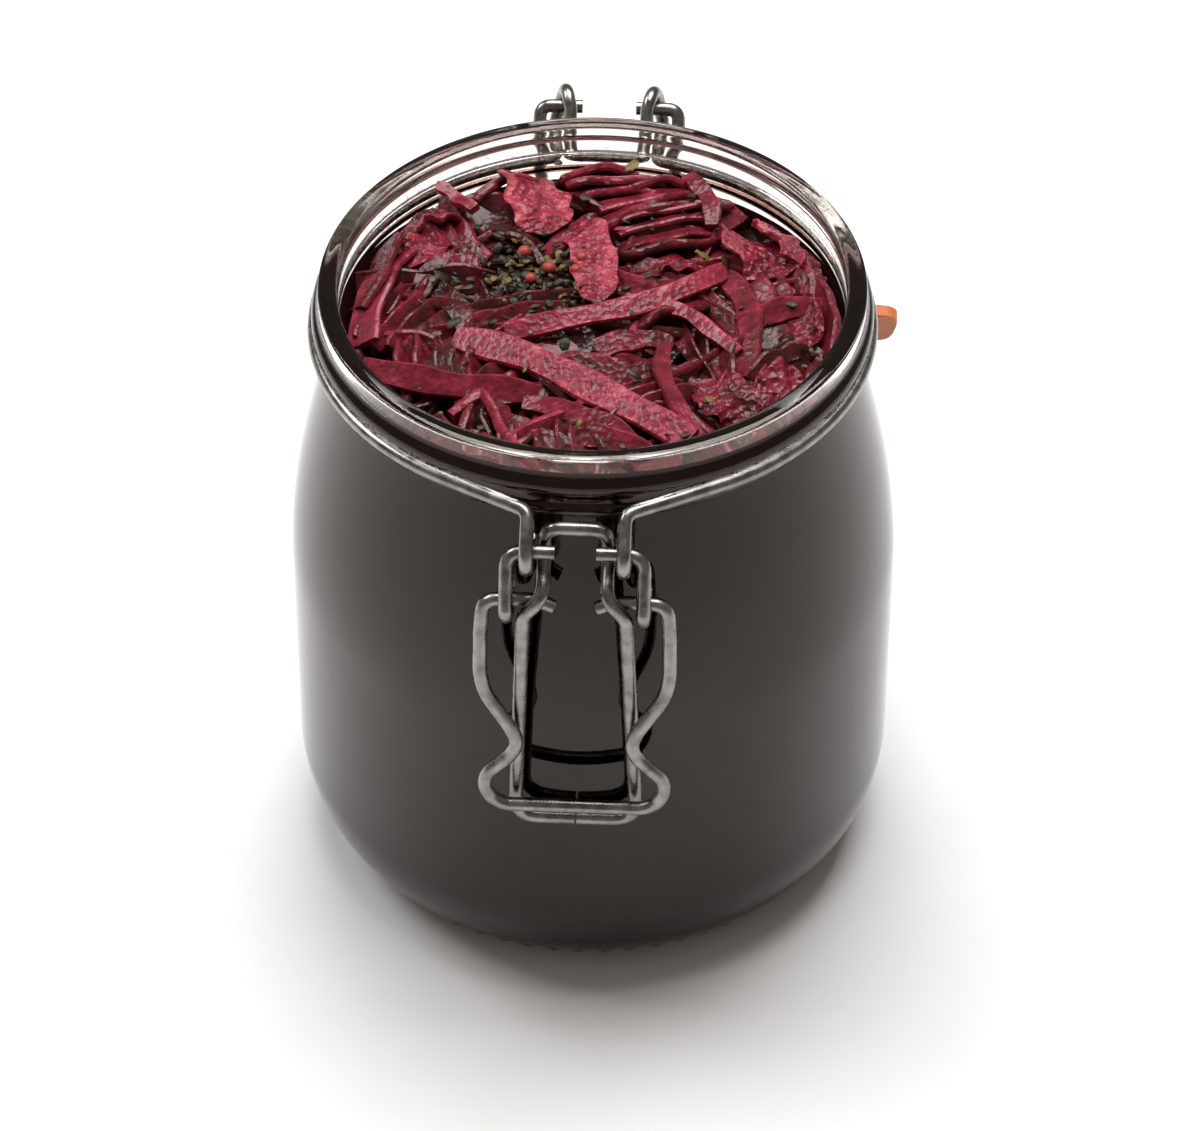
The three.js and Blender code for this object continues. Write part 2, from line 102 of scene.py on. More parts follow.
def add_node(tree: bpy.types.NodeTree, kind: str, inputs: dict[Any, Any] | None = None,
             stops: Stops = (), **settings: Any) -> bpy.types.Node:
    """Add one shader node with its settings and links.

    Args:
        tree: the material's node tree.
        kind: the node's type name without "ShaderNode" before it.
        inputs: by input name or number, a value to set, a socket to link, or a node to link from its
            first output.
        stops: a colour ramp's places from 0 to 1 with their sRGB colours.
        settings: attributes of the node itself.

    Returns:
        The new node.
    """
    node = tree.nodes.new("ShaderNode" + kind)
    for key, value in settings.items():
        setattr(node, key, value)
    for key, value in (inputs or {}).items():
        source = value.outputs[0] if isinstance(value, bpy.types.Node) else value
        if isinstance(source, bpy.types.NodeSocket):
            tree.links.new(source, node.inputs[key])
        else:
            node.inputs[key].default_value = source
    if stops:
        elements = node.color_ramp.elements
        while len(elements) < len(stops):
            elements.new(0.5)
        for element, (place, colour) in zip(elements, stops):
            element.position = place
            element.color = linear(colour)
    return node


def blank_material(name: str) -> tuple[bpy.types.Material, bpy.types.NodeTree, bpy.types.NodeSocket]:
    """Make an empty node material.

    Args:
        name: what the real material is.

    Returns:
        The material, its node tree and a socket with Object coordinates.
    """
    material = bpy.data.materials.new(name)
    material.use_nodes = True
    tree = material.node_tree
    tree.nodes.clear()
    return material, tree, add_node(tree, "TexCoord").outputs["Object"]


def per_mm(size: float) -> float:
    """Texture scale on Object coordinates for a pattern whose grain is this many millimetres."""
    return 1.0 / (size * MM)


@dataclass(frozen=True)
class SodaLimeGlass:
    """Pressed soda-lime glass: clear and bright, faintly rippled by the mould, and on the jar tinted dark
    below the juice line: painted shade in the solid foot, a painted double of the dark juice behind the wall
    above it.
    """

    name: str = "pressed_soda_lime_glass"
    tint: str = "#f7f5f2"
    ior: float = 1.46
    ripple: float = 22.0
    ripple_strength: float = 0.06
    ripple_height: float = 1.0
    stain: str | None = None
    stain_grain: float = 1.6
    stain_band: Pair = (103.0, 115.5)
    fleck_span: Pair = (0.56, 0.68)
    # Colour and level of a painted dark tint below the juice line, over the wall and the solid foot: painted
    # shade and a double of the juice seen through the glass, which is itself clear.
    film: str = "#3d3533"
    painted_shade_level: Pair = (100.5, 103.0)
    # A warm tint on the jar's reflections: painted warm light, since clear glass reflects untinted.
    painted_warm_reflection: str = "#ffeee4"

    def make(self) -> bpy.types.Material:
        """Build the material; where a stain is given, with flecks of juice, a painted dark tint below the
        juice line and painted warm reflections.

        Returns:
            The material.
        """
        material, tree, place = blank_material(self.name)
        ripples = add_node(tree, "TexNoise", {
            **NOISE, "Vector": place, "Scale": per_mm(self.ripple), "Detail": 1.0})
        bump = add_node(tree, "Bump", {
            "Height": ripples, "Strength": self.ripple_strength, "Distance": self.ripple_height * MM})
        inputs: dict[str, Any] = {
            "Base Color": linear(self.tint), "Roughness": 0.0, "IOR": self.ior,
            "Transmission Weight": 1.0, "Normal": bump}
        if self.stain:
            inputs["Base Color"] = self.stains_and_painted_shade(tree, place, self.stain)
            # Painted warm reflection: the jar's reflections are tinted warm.
            inputs["Specular Tint"] = linear(self.painted_warm_reflection)
        shader = add_node(tree, "BsdfPrincipled", inputs)
        add_node(tree, "OutputMaterial", {"Surface": shader})
        return material

    def stains_and_painted_shade(self, tree: bpy.types.NodeTree, place: bpy.types.NodeSocket,
                stain: str) -> bpy.types.NodeSocket:
        """Lay flecks of juice in a band near the mouth, and tint the glass dark below the juice line: painted
        shade in the solid foot, a painted double of the dark juice behind the wall above it.

        Args:
            tree: the material's node tree.
            place: Object coordinates.
            stain: the flecks' sRGB colour.

        Returns:
            A colour socket.
        """
        height = add_node(tree, "SeparateXYZ", {"Vector": place}).outputs["Z"]
        low, high = (level * MM for level in self.stain_band)
        middle = (low + high) / 2
        rise = add_node(tree, "MapRange", {"Value": height, "From Min": low, "From Max": middle})
        fall = add_node(tree, "MapRange", {
            "Value": height, "From Min": middle, "From Max": high, "To Min": 1.0, "To Max": 0.0})
        band = add_node(tree, "Math", {0: rise, 1: fall}, operation="MULTIPLY")
        specks = add_node(tree, "TexNoise", {
            **NOISE, "Vector": place, "Scale": per_mm(self.stain_grain), "Detail": 6.0})
        fleck = add_node(tree, "MapRange", {
            "Value": specks, "From Min": self.fleck_span[0], "From Max": self.fleck_span[1]})
        amount = add_node(tree, "Math", {0: band, 1: fleck}, operation="MULTIPLY")
        flecked = add_node(tree, "Mix", {
            "Factor": amount, "A": linear(self.tint), "B": linear(stain)}, data_type="RGBA")
        # Painted shade: below the juice line the clear glass is tinted dark, the solid foot too.
        wetness = add_node(tree, "MapRange", {
            "Value": height, "From Min": self.painted_shade_level[0] * MM, "From Max": self.painted_shade_level[1] * MM,
            "To Min": 1.0, "To Max": 0.0})
        wet = add_node(tree, "Mix", {
            "Factor": wetness, "A": flecked.outputs["Result"], "B": linear(self.film)}, data_type="RGBA")
        return wet.outputs["Result"]


@dataclass(frozen=True)
class GalvanisedSteel:
    """Drawn steel wire dipped in zinc: grey, half dull, its shine broken by patches and fine pits."""

    name: str = "galvanised_steel_wire"
    stops: Stops = ((0.3, "#6f6c68"), (0.68, "#9a9793"))
    patch: float = 2.2
    # Real pits are finer: these are as coarse as they need to be to show.
    pit: float = 0.45
    pit_strength: float = 0.25
    pit_depth: float = 0.06
    roughness: Pair = (0.2, 0.36)

    def make(self) -> bpy.types.Material:
        """Build the material.

        Returns:
            The material.
        """
        material, tree, place = blank_material(self.name)
        patches = add_node(tree, "TexNoise", {**NOISE, "Vector": place, "Scale": per_mm(self.patch)})
        pits = add_node(tree, "TexNoise", {**NOISE, "Vector": place, "Scale": per_mm(self.pit)})
        bump = add_node(tree, "Bump", {
            "Height": pits, "Strength": self.pit_strength, "Distance": self.pit_depth * MM})
        colour = add_node(tree, "ValToRGB", {"Fac": patches}, self.stops)
        dullness = add_node(tree, "MapRange", {
            **NOISE_SPAN, "Value": patches, "To Min": self.roughness[0], "To Max": self.roughness[1]})
        shader = add_node(tree, "BsdfPrincipled", {
            "Base Color": colour, "Metallic": 1.0, "Roughness": dullness, "Normal": bump})
        add_node(tree, "OutputMaterial", {"Surface": shader})
        return material


@dataclass(frozen=True)
class NaturalRubber:
    """Moulded natural rubber: matt orange with a fine grain, paler where it has bloomed."""

    name: str = "orange_natural_rubber"
    stops: Stops = ((0.35, "#bd602f"), (0.7, "#d9834f"))
    bloom: float = 9.0
    # The mould's grain is finer: this is as coarse as it needs to be to show.
    grain: float = 0.5
    grain_strength: float = 0.3
    grain_depth: float = 0.08
    roughness: float = 0.52

    def make(self) -> bpy.types.Material:
        """Build the material.

        Returns:
            The material.
        """
        material, tree, place = blank_material(self.name)
        grain = add_node(tree, "TexNoise", {**NOISE, "Vector": place, "Scale": per_mm(self.grain)})
        bump = add_node(tree, "Bump", {
            "Height": grain, "Strength": self.grain_strength, "Distance": self.grain_depth * MM})
        bloom = add_node(tree, "TexNoise", {**NOISE, "Vector": place, "Scale": per_mm(self.bloom)})
        colour = add_node(tree, "ValToRGB", {"Fac": bloom}, self.stops)
        shader = add_node(tree, "BsdfPrincipled", {
            "Base Color": colour, "Roughness": self.roughness, "Normal": bump})
        add_node(tree, "OutputMaterial", {"Surface": shader})
        return material


@dataclass(frozen=True)
class WetCabbage:
    """Cooked red cabbage wet with juice: crimson to plum, its skin finely wrinkled and glossy."""

    name: str = "wet_red_cabbage"
    stops: Stops = (
        (0.0, "#1b0908"), (0.3, "#421415"), (0.6, "#6f1b2a"), (0.85, "#952f42"), (1.0, "#b4525a"))
    mottle: float = 3.0
    mottle_depth: float = 0.2
    sway: float = 1.6
    sway_share: float = 0.0012
    wrinkle: float = 1.1
    wrinkle_depth: float = 0.3
    wrinkle_strength: float = 0.42
    wetness: float = 1.2
    roughness: Pair = (0.14, 0.34)
    specular: float = 0.3

    def make(self) -> bpy.types.Material:
        """Build the material: each piece's tone comes from its mesh attribute, darker for pieces deep in the
        heap as painted shade.

        Returns:
            The material.
        """
        material, tree, place = blank_material(self.name)
        tone = add_node(tree, "Attribute", attribute_name=TONE).outputs["Fac"]
        blotches = add_node(tree, "TexNoise", {
            **NOISE, "Vector": place, "Scale": per_mm(self.mottle), "Detail": 5.0})
        mottle = add_node(tree, "MapRange", {
            **NOISE_SPAN, "Value": blotches, "To Min": -self.mottle_depth, "To Max": self.mottle_depth})
        shade = add_node(tree, "Math", {0: tone, 1: mottle}, operation="ADD", use_clamp=True)
        colour = add_node(tree, "ValToRGB", {"Fac": shade}, self.stops)
        sway = add_node(tree, "TexNoise", {"Vector": place, "Scale": per_mm(self.sway), "Detail": 3.0})
        moved = add_node(tree, "Mix", {
            "Factor": self.sway_share, "A": place, "B": sway.outputs["Color"]}, data_type="VECTOR")
        cells = add_node(tree, "TexVoronoi", {
            "Vector": moved.outputs["Result"], "Scale": per_mm(self.wrinkle)}, feature="F1")
        bump = add_node(tree, "Bump", {
            "Height": cells, "Strength": self.wrinkle_strength, "Distance": self.wrinkle_depth * MM})
        wet = add_node(tree, "TexNoise", {**NOISE, "Vector": place, "Scale": per_mm(self.wetness)})
        gloss = add_node(tree, "MapRange", {
            **NOISE_SPAN, "Value": wet, "To Min": self.roughness[0], "To Max": self.roughness[1]})
        shader = add_node(tree, "BsdfPrincipled", {
            "Base Color": colour, "Roughness": gloss, "Specular IOR Level": self.specular,
            "Normal": bump})
        add_node(tree, "OutputMaterial", {"Surface": shader})
        return material


@dataclass(frozen=True)
class CabbageJuice:
    """Red cabbage packed in its own juice: so dark that it looks black with a plum tinge."""

    name: str = "dark_cabbage_juice"
    stops: Stops = ((0.4, "#190f0b"), (0.75, "#241410"))
    crown: str = "#1f0b0d"
    clump: float = 14.0
    level: Pair = (103.5, 104.5)
    roughness: float = 0.6

    def make(self) -> bpy.types.Material:
        """Build the material: black behind the glass, plum where the heap shows at the top.

        Returns:
            The material.
        """
        material, tree, place = blank_material(self.name)
        height = add_node(tree, "SeparateXYZ", {"Vector": place}).outputs["Z"]
        clumps = add_node(tree, "TexNoise", {**NOISE, "Vector": place, "Scale": per_mm(self.clump)})
        below = add_node(tree, "ValToRGB", {"Fac": clumps}, self.stops)
        above = add_node(tree, "MapRange", {
            "Value": height, "From Min": self.level[0] * MM, "From Max": self.level[1] * MM})
        mix = add_node(tree, "Mix", {
            "Factor": above, "A": below, "B": linear(self.crown)}, data_type="RGBA")
        shader = add_node(tree, "BsdfPrincipled", {
            "Base Color": mix.outputs["Result"], "Roughness": self.roughness, "Specular IOR Level": 0.0})
        add_node(tree, "OutputMaterial", {"Surface": shader})
        return material


@dataclass(frozen=True)
class DriedHerb:
    """Crushed herb and seed: small rough flakes from dark green to straw brown."""

    name: str = "crushed_herb"
    stops: Stops = (
        (0.0, "#140e08"), (0.25, "#262413"), (0.5, "#3a2a17"), (0.7, "#6b5a2c"), (0.8, "#45201c"),
        (1.0, "#93352e"))
    grain: float = 0.5
    grain_strength: float = 0.6
    grain_depth: float = 0.2
    roughness: float = 0.4
    specular: float = 0.3

    def make(self) -> bpy.types.Material:
        """Build the material: each flake's own tone comes from its mesh attribute.

        Returns:
            The material.
        """
        material, tree, place = blank_material(self.name)
        tone = add_node(tree, "Attribute", attribute_name=TONE).outputs["Fac"]
        grain = add_node(tree, "TexNoise", {**NOISE, "Vector": place, "Scale": per_mm(self.grain)})
        bump = add_node(tree, "Bump", {
            "Height": grain, "Strength": self.grain_strength, "Distance": self.grain_depth * MM})
        colour = add_node(tree, "ValToRGB", {"Fac": tone}, self.stops)
        shader = add_node(tree, "BsdfPrincipled", {
            "Base Color": colour, "Roughness": self.roughness, "Specular IOR Level": self.specular,
            "Normal": bump})
        add_node(tree, "OutputMaterial", {"Surface": shader})
        return material


@dataclass(frozen=True)
class StudioPaper:
    """White background paper: matt and even, with a trace of tooth."""

    name: str = "white_background_paper"
    stops: Stops = ((0.3, "#f6f6f6"), (0.7, "#f2f2f2"))
    cloud: float = 40.0
    roughness: float = 0.9
    specular: float = 0.1

    def make(self) -> bpy.types.Material:
        """Build the material.

        Returns:
            The material.
        """
        material, tree, place = blank_material(self.name)
        clouds = add_node(tree, "TexNoise", {**NOISE, "Vector": place, "Scale": per_mm(self.cloud)})
        colour = add_node(tree, "ValToRGB", {"Fac": clouds}, self.stops)
        shader = add_node(tree, "BsdfPrincipled", {
            "Base Color": colour, "Roughness": self.roughness, "Specular IOR Level": self.specular})
        add_node(tree, "OutputMaterial", {"Surface": shader})
        return material


def deselect() -> None:
    """Leave edit mode and deselect everything."""
    if bpy.context.mode != "OBJECT":
        bpy.ops.object.mode_set(mode="OBJECT")
    bpy.ops.object.select_all(action="DESELECT")


def clean_shell(smooth_angle: float) -> None:
    """Merge the active mesh's doubles, point its faces outwards and shade it smooth.

    Args:
        smooth_angle: edges sharper than this stay sharp, in radians.
    """
    bpy.ops.object.mode_set(mode="EDIT")
    bpy.ops.mesh.select_all(action="SELECT")
    bpy.ops.mesh.remove_doubles(threshold=MERGE_DISTANCE)
    bpy.ops.mesh.normals_make_consistent(inside=False)
    bpy.ops.object.mode_set(mode="OBJECT")
    bpy.ops.object.shade_smooth_by_angle(angle=smooth_angle)


def spun(name: str, profile: Sequence[Pair], steps: int) -> bpy.types.Object:
    """Turn a profile about the jar's axis, extruding it point by point and spinning it.

    Args:
        name: the piece's name.
        profile: (radius, height) points in millimetres; it starts and ends on the axis.
        steps: faces round the axis.

    Returns:
        The closed piece.
    """
    deselect()
    bpy.ops.mesh.primitive_circle_add(vertices=3, radius=MM)
    piece = bpy.context.active_object
    piece.name = name
    places = [Vector((radius, 0.0, height)) * MM for radius, height in profile]
    bpy.ops.object.mode_set(mode="EDIT")
    bpy.ops.mesh.select_all(action="SELECT")
    bpy.ops.mesh.merge(type="CENTER")
    bpy.ops.transform.translate(value=places[0])
    for before, after in zip(places, places[1:]):
        bpy.ops.mesh.extrude_region_move(TRANSFORM_OT_translate={"value": after - before})
    bpy.ops.mesh.select_all(action="SELECT")
    bpy.ops.mesh.spin(steps=steps, angle=2 * math.pi, center=(0, 0, 0), axis=(0, 0, 1))
    bpy.ops.object.mode_set(mode="OBJECT")
    clean_shell(SMOOTH_TURNED)
    return piece


def ellipse(centre: Pair, radii: Pair, start: float, end: float, steps: int) -> list[Pair]:
    """Points on an arc of an ellipse.

    Args:
        centre: its middle, as radius and height.
        radii: its half widths.
        start: first angle in degrees, from the outward direction.
        end: last angle.
        steps: pieces in the arc.

    Returns:
        The points.
    """
    angles = [math.radians(start + (end - start) * i / steps) for i in range(steps + 1)]
    return [(centre[0] + radii[0] * math.cos(a), centre[1] + radii[1] * math.sin(a)) for a in angles]


def bezier(points: Sequence[Pair], steps: int) -> list[Pair]:
    """Points on a cubic curve.

    Args:
        points: its four control points.
        steps: pieces in the curve.

    Returns:
        The points.
    """
    run = []
    for i in range(steps + 1):
        t = i / steps
        v = 1 - t
        shares = (v**3, 3 * t * v * v, 3 * t * t * v, t**3)
        run.append((sum(s * p[0] for s, p in zip(shares, points)),
                    sum(s * p[1] for s, p in zip(shares, points))))
    return run


def softened(points: Sequence[Pair]) -> list[Pair]:
    """Cut the corners of an open outline a few times, each time at a quarter of its sides.

    Args:
        points: the outline.

    Returns:
        The softened outline, with the same ends.
    """
    for _ in range(CORNER_CUTS):
        cut = [points[0]]
        for (r0, z0), (r1, z1) in zip(points, points[1:]):
            cut.append((0.75 * r0 + 0.25 * r1, 0.75 * z0 + 0.25 * z1))
            cut.append((0.25 * r0 + 0.75 * r1, 0.25 * z0 + 0.75 * z1))
        points = [*cut, points[-1]]
    return list(points)


def settle(piece: bpy.types.Object, body: Body, finish: bpy.types.Material,
           nodes: Sequence[str]) -> bpy.types.Object:
    """Dress a piece, hide the frame's nodes that it stands for and let it ride on its body.

    Args:
        piece: the finished piece, in place.
        body: the body that it moves with.
        finish: its material.
        nodes: the frame's nodes that it replaces.

    Returns:
        The same piece.
    """
    piece.data.materials.clear()
    piece.data.materials.append(finish)
    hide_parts(*nodes)
    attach(piece, body.value)
    LOG.info("%s rides on %s, %d faces", piece.name, body.value, len(piece.data.polygons))
    return piece


@dataclass(frozen=True)
class JarShape:
    """The jar's outline, shared by its glass and what fills it."""

    foot_radius: float = 37.0
    heel_height: float = 20.0
    body_radius: float = 52.4
    shoulder_height: float = 60.0
    shoulder_pull: float = 16.0
    neck_radius: float = 44.7
    neck_height: float = 103.6
    neck_pull: Pair = (2.7, 12.0)
    ridge_radius: float = 46.0
    ridge_height: float = 105.2
    ridge_width: float = 1.1
    groove_radius: float = 45.2
    groove_height: float = 107.0
    groove_width: float = 2.4
    bead_radius: float = 47.2
    bead_height: float = 110.0
    bead_width: float = 2.0
    lip_radius: float = 46.0
    lip_foot: float = 113.0
    lip_top: float = 116.7
    lip_edge: float = 1.2
    lip_round: float = 0.1
    mouth_radius: float = 42.6
    wall: float = 3.2
    base: float = 5.5
    curve_steps: int = 18

    def inner(self, inset: float, top: float) -> list[Pair]:
        """The inner wall, from the middle of the floor up to a height in the mouth.

        Args:
            inset: how far inside the glass the outline runs; below zero it runs into the wall.
            top: the height where it stops.

        Returns:
            (radius, height) points.
        """
        radius = self.body_radius - self.wall - inset
        mouth = self.mouth_radius - inset
        floor = self.base + inset
        heel = self.foot_radius - self.wall
        shoulder = [(radius, self.shoulder_height), (radius, self.shoulder_height + self.shoulder_pull),
                    (mouth + self.neck_pull[0], self.neck_height - self.neck_pull[1]),
                    (mouth, self.neck_height)]
        bend = ellipse((heel, self.heel_height), (radius - heel, self.heel_height - floor),
                       -90, 0, self.curve_steps)
        return [(0.0, floor), *bend, *bezier(shoulder, self.curve_steps), (mouth, top)]

    def outer(self) -> list[Pair]:
        """The outer wall, from the middle of the foot to the inner edge of the lip.

        Returns:
            (radius, height) points.
        """
        shoulder = [(self.body_radius, self.shoulder_height),
                    (self.body_radius, self.shoulder_height + self.shoulder_pull),
                    (self.neck_radius + self.neck_pull[0], self.neck_height - self.neck_pull[1]),
                    (self.neck_radius, self.neck_height)]
        heel = ellipse((self.foot_radius, self.heel_height),
                       (self.body_radius - self.foot_radius, self.heel_height), -90, 0, self.curve_steps)
        finish = [(self.neck_radius, self.neck_height), (self.ridge_radius, self.ridge_height),
                  (self.ridge_radius, self.ridge_height + self.ridge_width),
                  (self.groove_radius, self.groove_height),
                  (self.groove_radius, self.groove_height + self.groove_width),
                  (self.bead_radius, self.bead_height),
                  (self.bead_radius, self.bead_height + self.bead_width),
                  (self.lip_radius, self.lip_foot), (self.lip_radius, self.lip_top - self.lip_edge),
                  (self.lip_radius - self.lip_round, self.lip_top),
                  (self.mouth_radius + self.lip_round, self.lip_top),
                  (self.mouth_radius, self.lip_top - self.lip_edge)]
        return [(0.0, 0.0), *heel, *bezier(shoulder, self.curve_steps)[:-1], *softened(finish)]


@dataclass
class GlassJar:
    """The jar itself: one shell of pressed glass with a knurled foot."""

    shape: JarShape
    finish: bpy.types.Material
    steps: int = 192
    knurl_low: float = 0.5
    knurl_high: float = 4.0
    knurl_depth: float = 0.6
    knurl_pitch: int = 3

    def build(self) -> bpy.types.Object:
        """Spin the shell, knurl its foot and dress it.

        Returns:
            The jar.
        """
        inner = self.shape.inner(0.0, self.shape.lip_top - self.shape.lip_edge)
        piece = spun("clear_jar", [*self.shape.outer(), *reversed(inner[:-1])], self.steps)
        self.knurl(piece)
        return settle(piece, Body.JAR, self.finish, ["jar_glass"])

    def knurl(self, piece: bpy.types.Object) -> None:
        """Press small teeth into the heel, just above the foot.

        Args:
            piece: the jar.
        """
        for vertex in piece.data.vertices:
            height = vertex.co.z / MM
            if not self.knurl_low < height < self.knurl_high:
                continue
            step = round(math.atan2(vertex.co.y, vertex.co.x) / (2 * math.pi) * self.steps)
            if step % self.knurl_pitch == 0:
                flat = Vector((vertex.co.x, vertex.co.y, 0.0)).normalized()
                vertex.co += flat * self.knurl_depth * MM


def bent(corners: Sequence[Vector], radius: float, steps: int = 7) -> Points:
    """Round the corners of a run of wire.

    Args:
        corners: the run's ends and corners, in millimetres.
        radius: bend radius at each corner that turns sharply.
        steps: pieces in each bend.

    Returns:
        The points that the wire follows.
    """
    slight = math.pi / 7
    run = [corners[0]]
    for before, corner, after in zip(corners, corners[1:], corners[2:]):
        back = before - corner
        ahead = after - corner
        half = back.angle(ahead) / 2
        if math.pi - 2 * half < slight:
            run.append(corner)
            continue
        reach = min(radius / math.tan(half), back.length / 2, ahead.length / 2)
        start = corner + back.normalized() * reach
        end = corner + ahead.normalized() * reach
        for i in range(steps + 1):
            t = i / steps
            run.append(start * (1 - t) ** 2 + corner * 2 * t * (1 - t) + end * t * t)
    return [*run, corners[-1]]


def waved(points: Sequence[Vector], steps: int = 12) -> Points:
    """A smooth curve through a few points, as a bender makes a wave.

    Args:
        points: places that the wire passes, in millimetres.
        steps: pieces between one place and the next.

    Returns:
        The points that the wire follows.
    """
    ends = [2 * points[0] - points[1], *points, 2 * points[-1] - points[-2]]
    run = []
    for a, b, c, d in zip(ends, ends[1:], ends[2:], ends[3:]):
        for i in range(steps):
            t = i / steps
            run.append(0.5 * (2 * b + (c - a) * t + (2 * a - 5 * b + 4 * c - d) * t**2
                              + (3 * b - a - 3 * c + d) * t**3))
    return [*run, points[-1]]


def mirrored(points: Sequence[Vector]) -> Points:
    """The other half of a run that is alike left and right, running on from its middle."""
    return [Vector((-p.x, p.y, p.z)) for p in reversed(points)]


@dataclass(frozen=True)
class Pin:
    """A pin along X that a wire turns on: its axis and where its inner end is cut."""

    y: float
    z: float
    end: float


@dataclass(frozen=True)
class WireGauge:
    """The wire's size and the ways it is bent."""

    thickness: float = 2.4
    bend: float = 2.4
    eye: float = 2.85
    sides: int = 6
    eye_step: float = math.radians(12)
    ring_step: float = math.radians(3)

    def eye_turn(self, pin: Pin, start: float, end: float, x_from: float, x_to: float) -> Points:
        """Points round a pin, sliding along X as they turn.

        Args:
            pin: the pin in the middle of the eye.
            start: first angle from +Y towards +Z, in radians.
            end: last angle.
            x_from: place along X at the first angle.
            x_to: place along X at the last angle.

        Returns:
            The points of the turn.
        """
        count = math.ceil(abs(end - start) / self.eye_step)
        turn = []
        for i in range(count + 1):
            angle = start + (end - start) * i / count
            x = x_from + (x_to - x_from) * i / count
            turn.append(Vector((x, pin.y + self.eye * math.cos(angle), pin.z + self.eye * math.sin(angle))))
        return turn

    def ring_turn(self, radius: float, height: float, start: float, end: float) -> Points:
        """Points on a level ring round the jar's axis.

        Args:
            radius: the ring's radius.
            height: its height.
            start: first angle from +Y towards -X, in radians.
            end: last angle.

        Returns:
            The points of the turn.
        """
        count = math.ceil(abs(end - start) / self.ring_step)
        angles = [start + (end - start) * i / count for i in range(count + 1)]
        return [Vector((-radius * math.sin(a), radius * math.cos(a), height)) for a in angles]

    def tube(self, name: str, run: Points) -> bpy.types.Object:
        """Draw round wire along a run of points and make it a closed mesh.

        Args:
            name: the piece's name.
            run: points in millimetres.

        Returns:
            The wire.
        """
        deselect()
        bpy.ops.curve.primitive_nurbs_path_add(location=(0, 0, 0))
        piece = bpy.context.active_object
        piece.name = name
        curve = piece.data
        curve.splines.clear()
        spline = curve.splines.new("POLY")
        spline.points.add(len(run) - 1)
        for point, place in zip(spline.points, run):
            point.co = (*(place * MM), 1.0)
        curve.dimensions = "3D"
        curve.twist_mode = "MINIMUM"
        curve.bevel_depth = self.thickness / 2 * MM
        curve.bevel_resolution = self.sides
        curve.use_fill_caps = True
        bpy.ops.object.convert(target="MESH")
        clean_shell(SMOOTH_WIRE)
        return piece


@dataclass
class NeckWire:
    """The hoop in the jar's groove, with two hooks in front and two eyes behind."""

    gauge: WireGauge
    finish: bpy.types.Material
    upper: Pin
    hinge: Pin
    radius: float
    height: float
    hook_x: float = 7.9
    knee_y: float = -48.8
    hook_tip: float = math.pi / 8
    eye_outer: float = 9.4
    eye_inner: float = 6.7
    eye_wrap: float = math.pi * 4 / 3

    def build(self) -> bpy.types.Object:
        """Bend the left half, mirror it and dress the hoop.

        Returns:
            The hoop.
        """
        gauge = self.gauge
        knee = Vector((-self.hook_x, self.knee_y, self.height))
        away, up = knee.y - self.upper.y, knee.z - self.upper.z
        meet = math.atan2(up, away) + math.acos(gauge.eye / math.hypot(away, up)) - 2 * math.pi
        hook = gauge.eye_turn(self.upper, self.hook_tip, meet, -self.hook_x, -self.hook_x)
        reach = math.hypot(self.hook_x, self.knee_y)
        leave = math.atan2(self.hook_x, -self.knee_y) + math.acos(self.radius / reach)
        arrive = math.asin((self.eye_outer + gauge.bend) / self.radius)
        turn_off = math.sqrt(self.radius**2 - self.eye_outer**2)
        start = -math.pi / 2
        half = [
            *hook,
            knee,
            *gauge.ring_turn(self.radius, self.height, math.pi - leave, arrive),
            Vector((-self.eye_outer, turn_off, self.height)),
            *gauge.eye_turn(self.hinge, start, start + self.eye_wrap, -self.eye_outer, -self.eye_inner),
            Vector((-self.eye_inner, self.hinge.y - 2 * gauge.eye, self.height)),
            Vector((-self.eye_inner, self.radius, self.height)),
        ]
        run = bent([*half, *mirrored(half)], gauge.bend)
        return settle(gauge.tube("neck_hoop", run), Body.JAR, self.finish, ["neck_wire"])


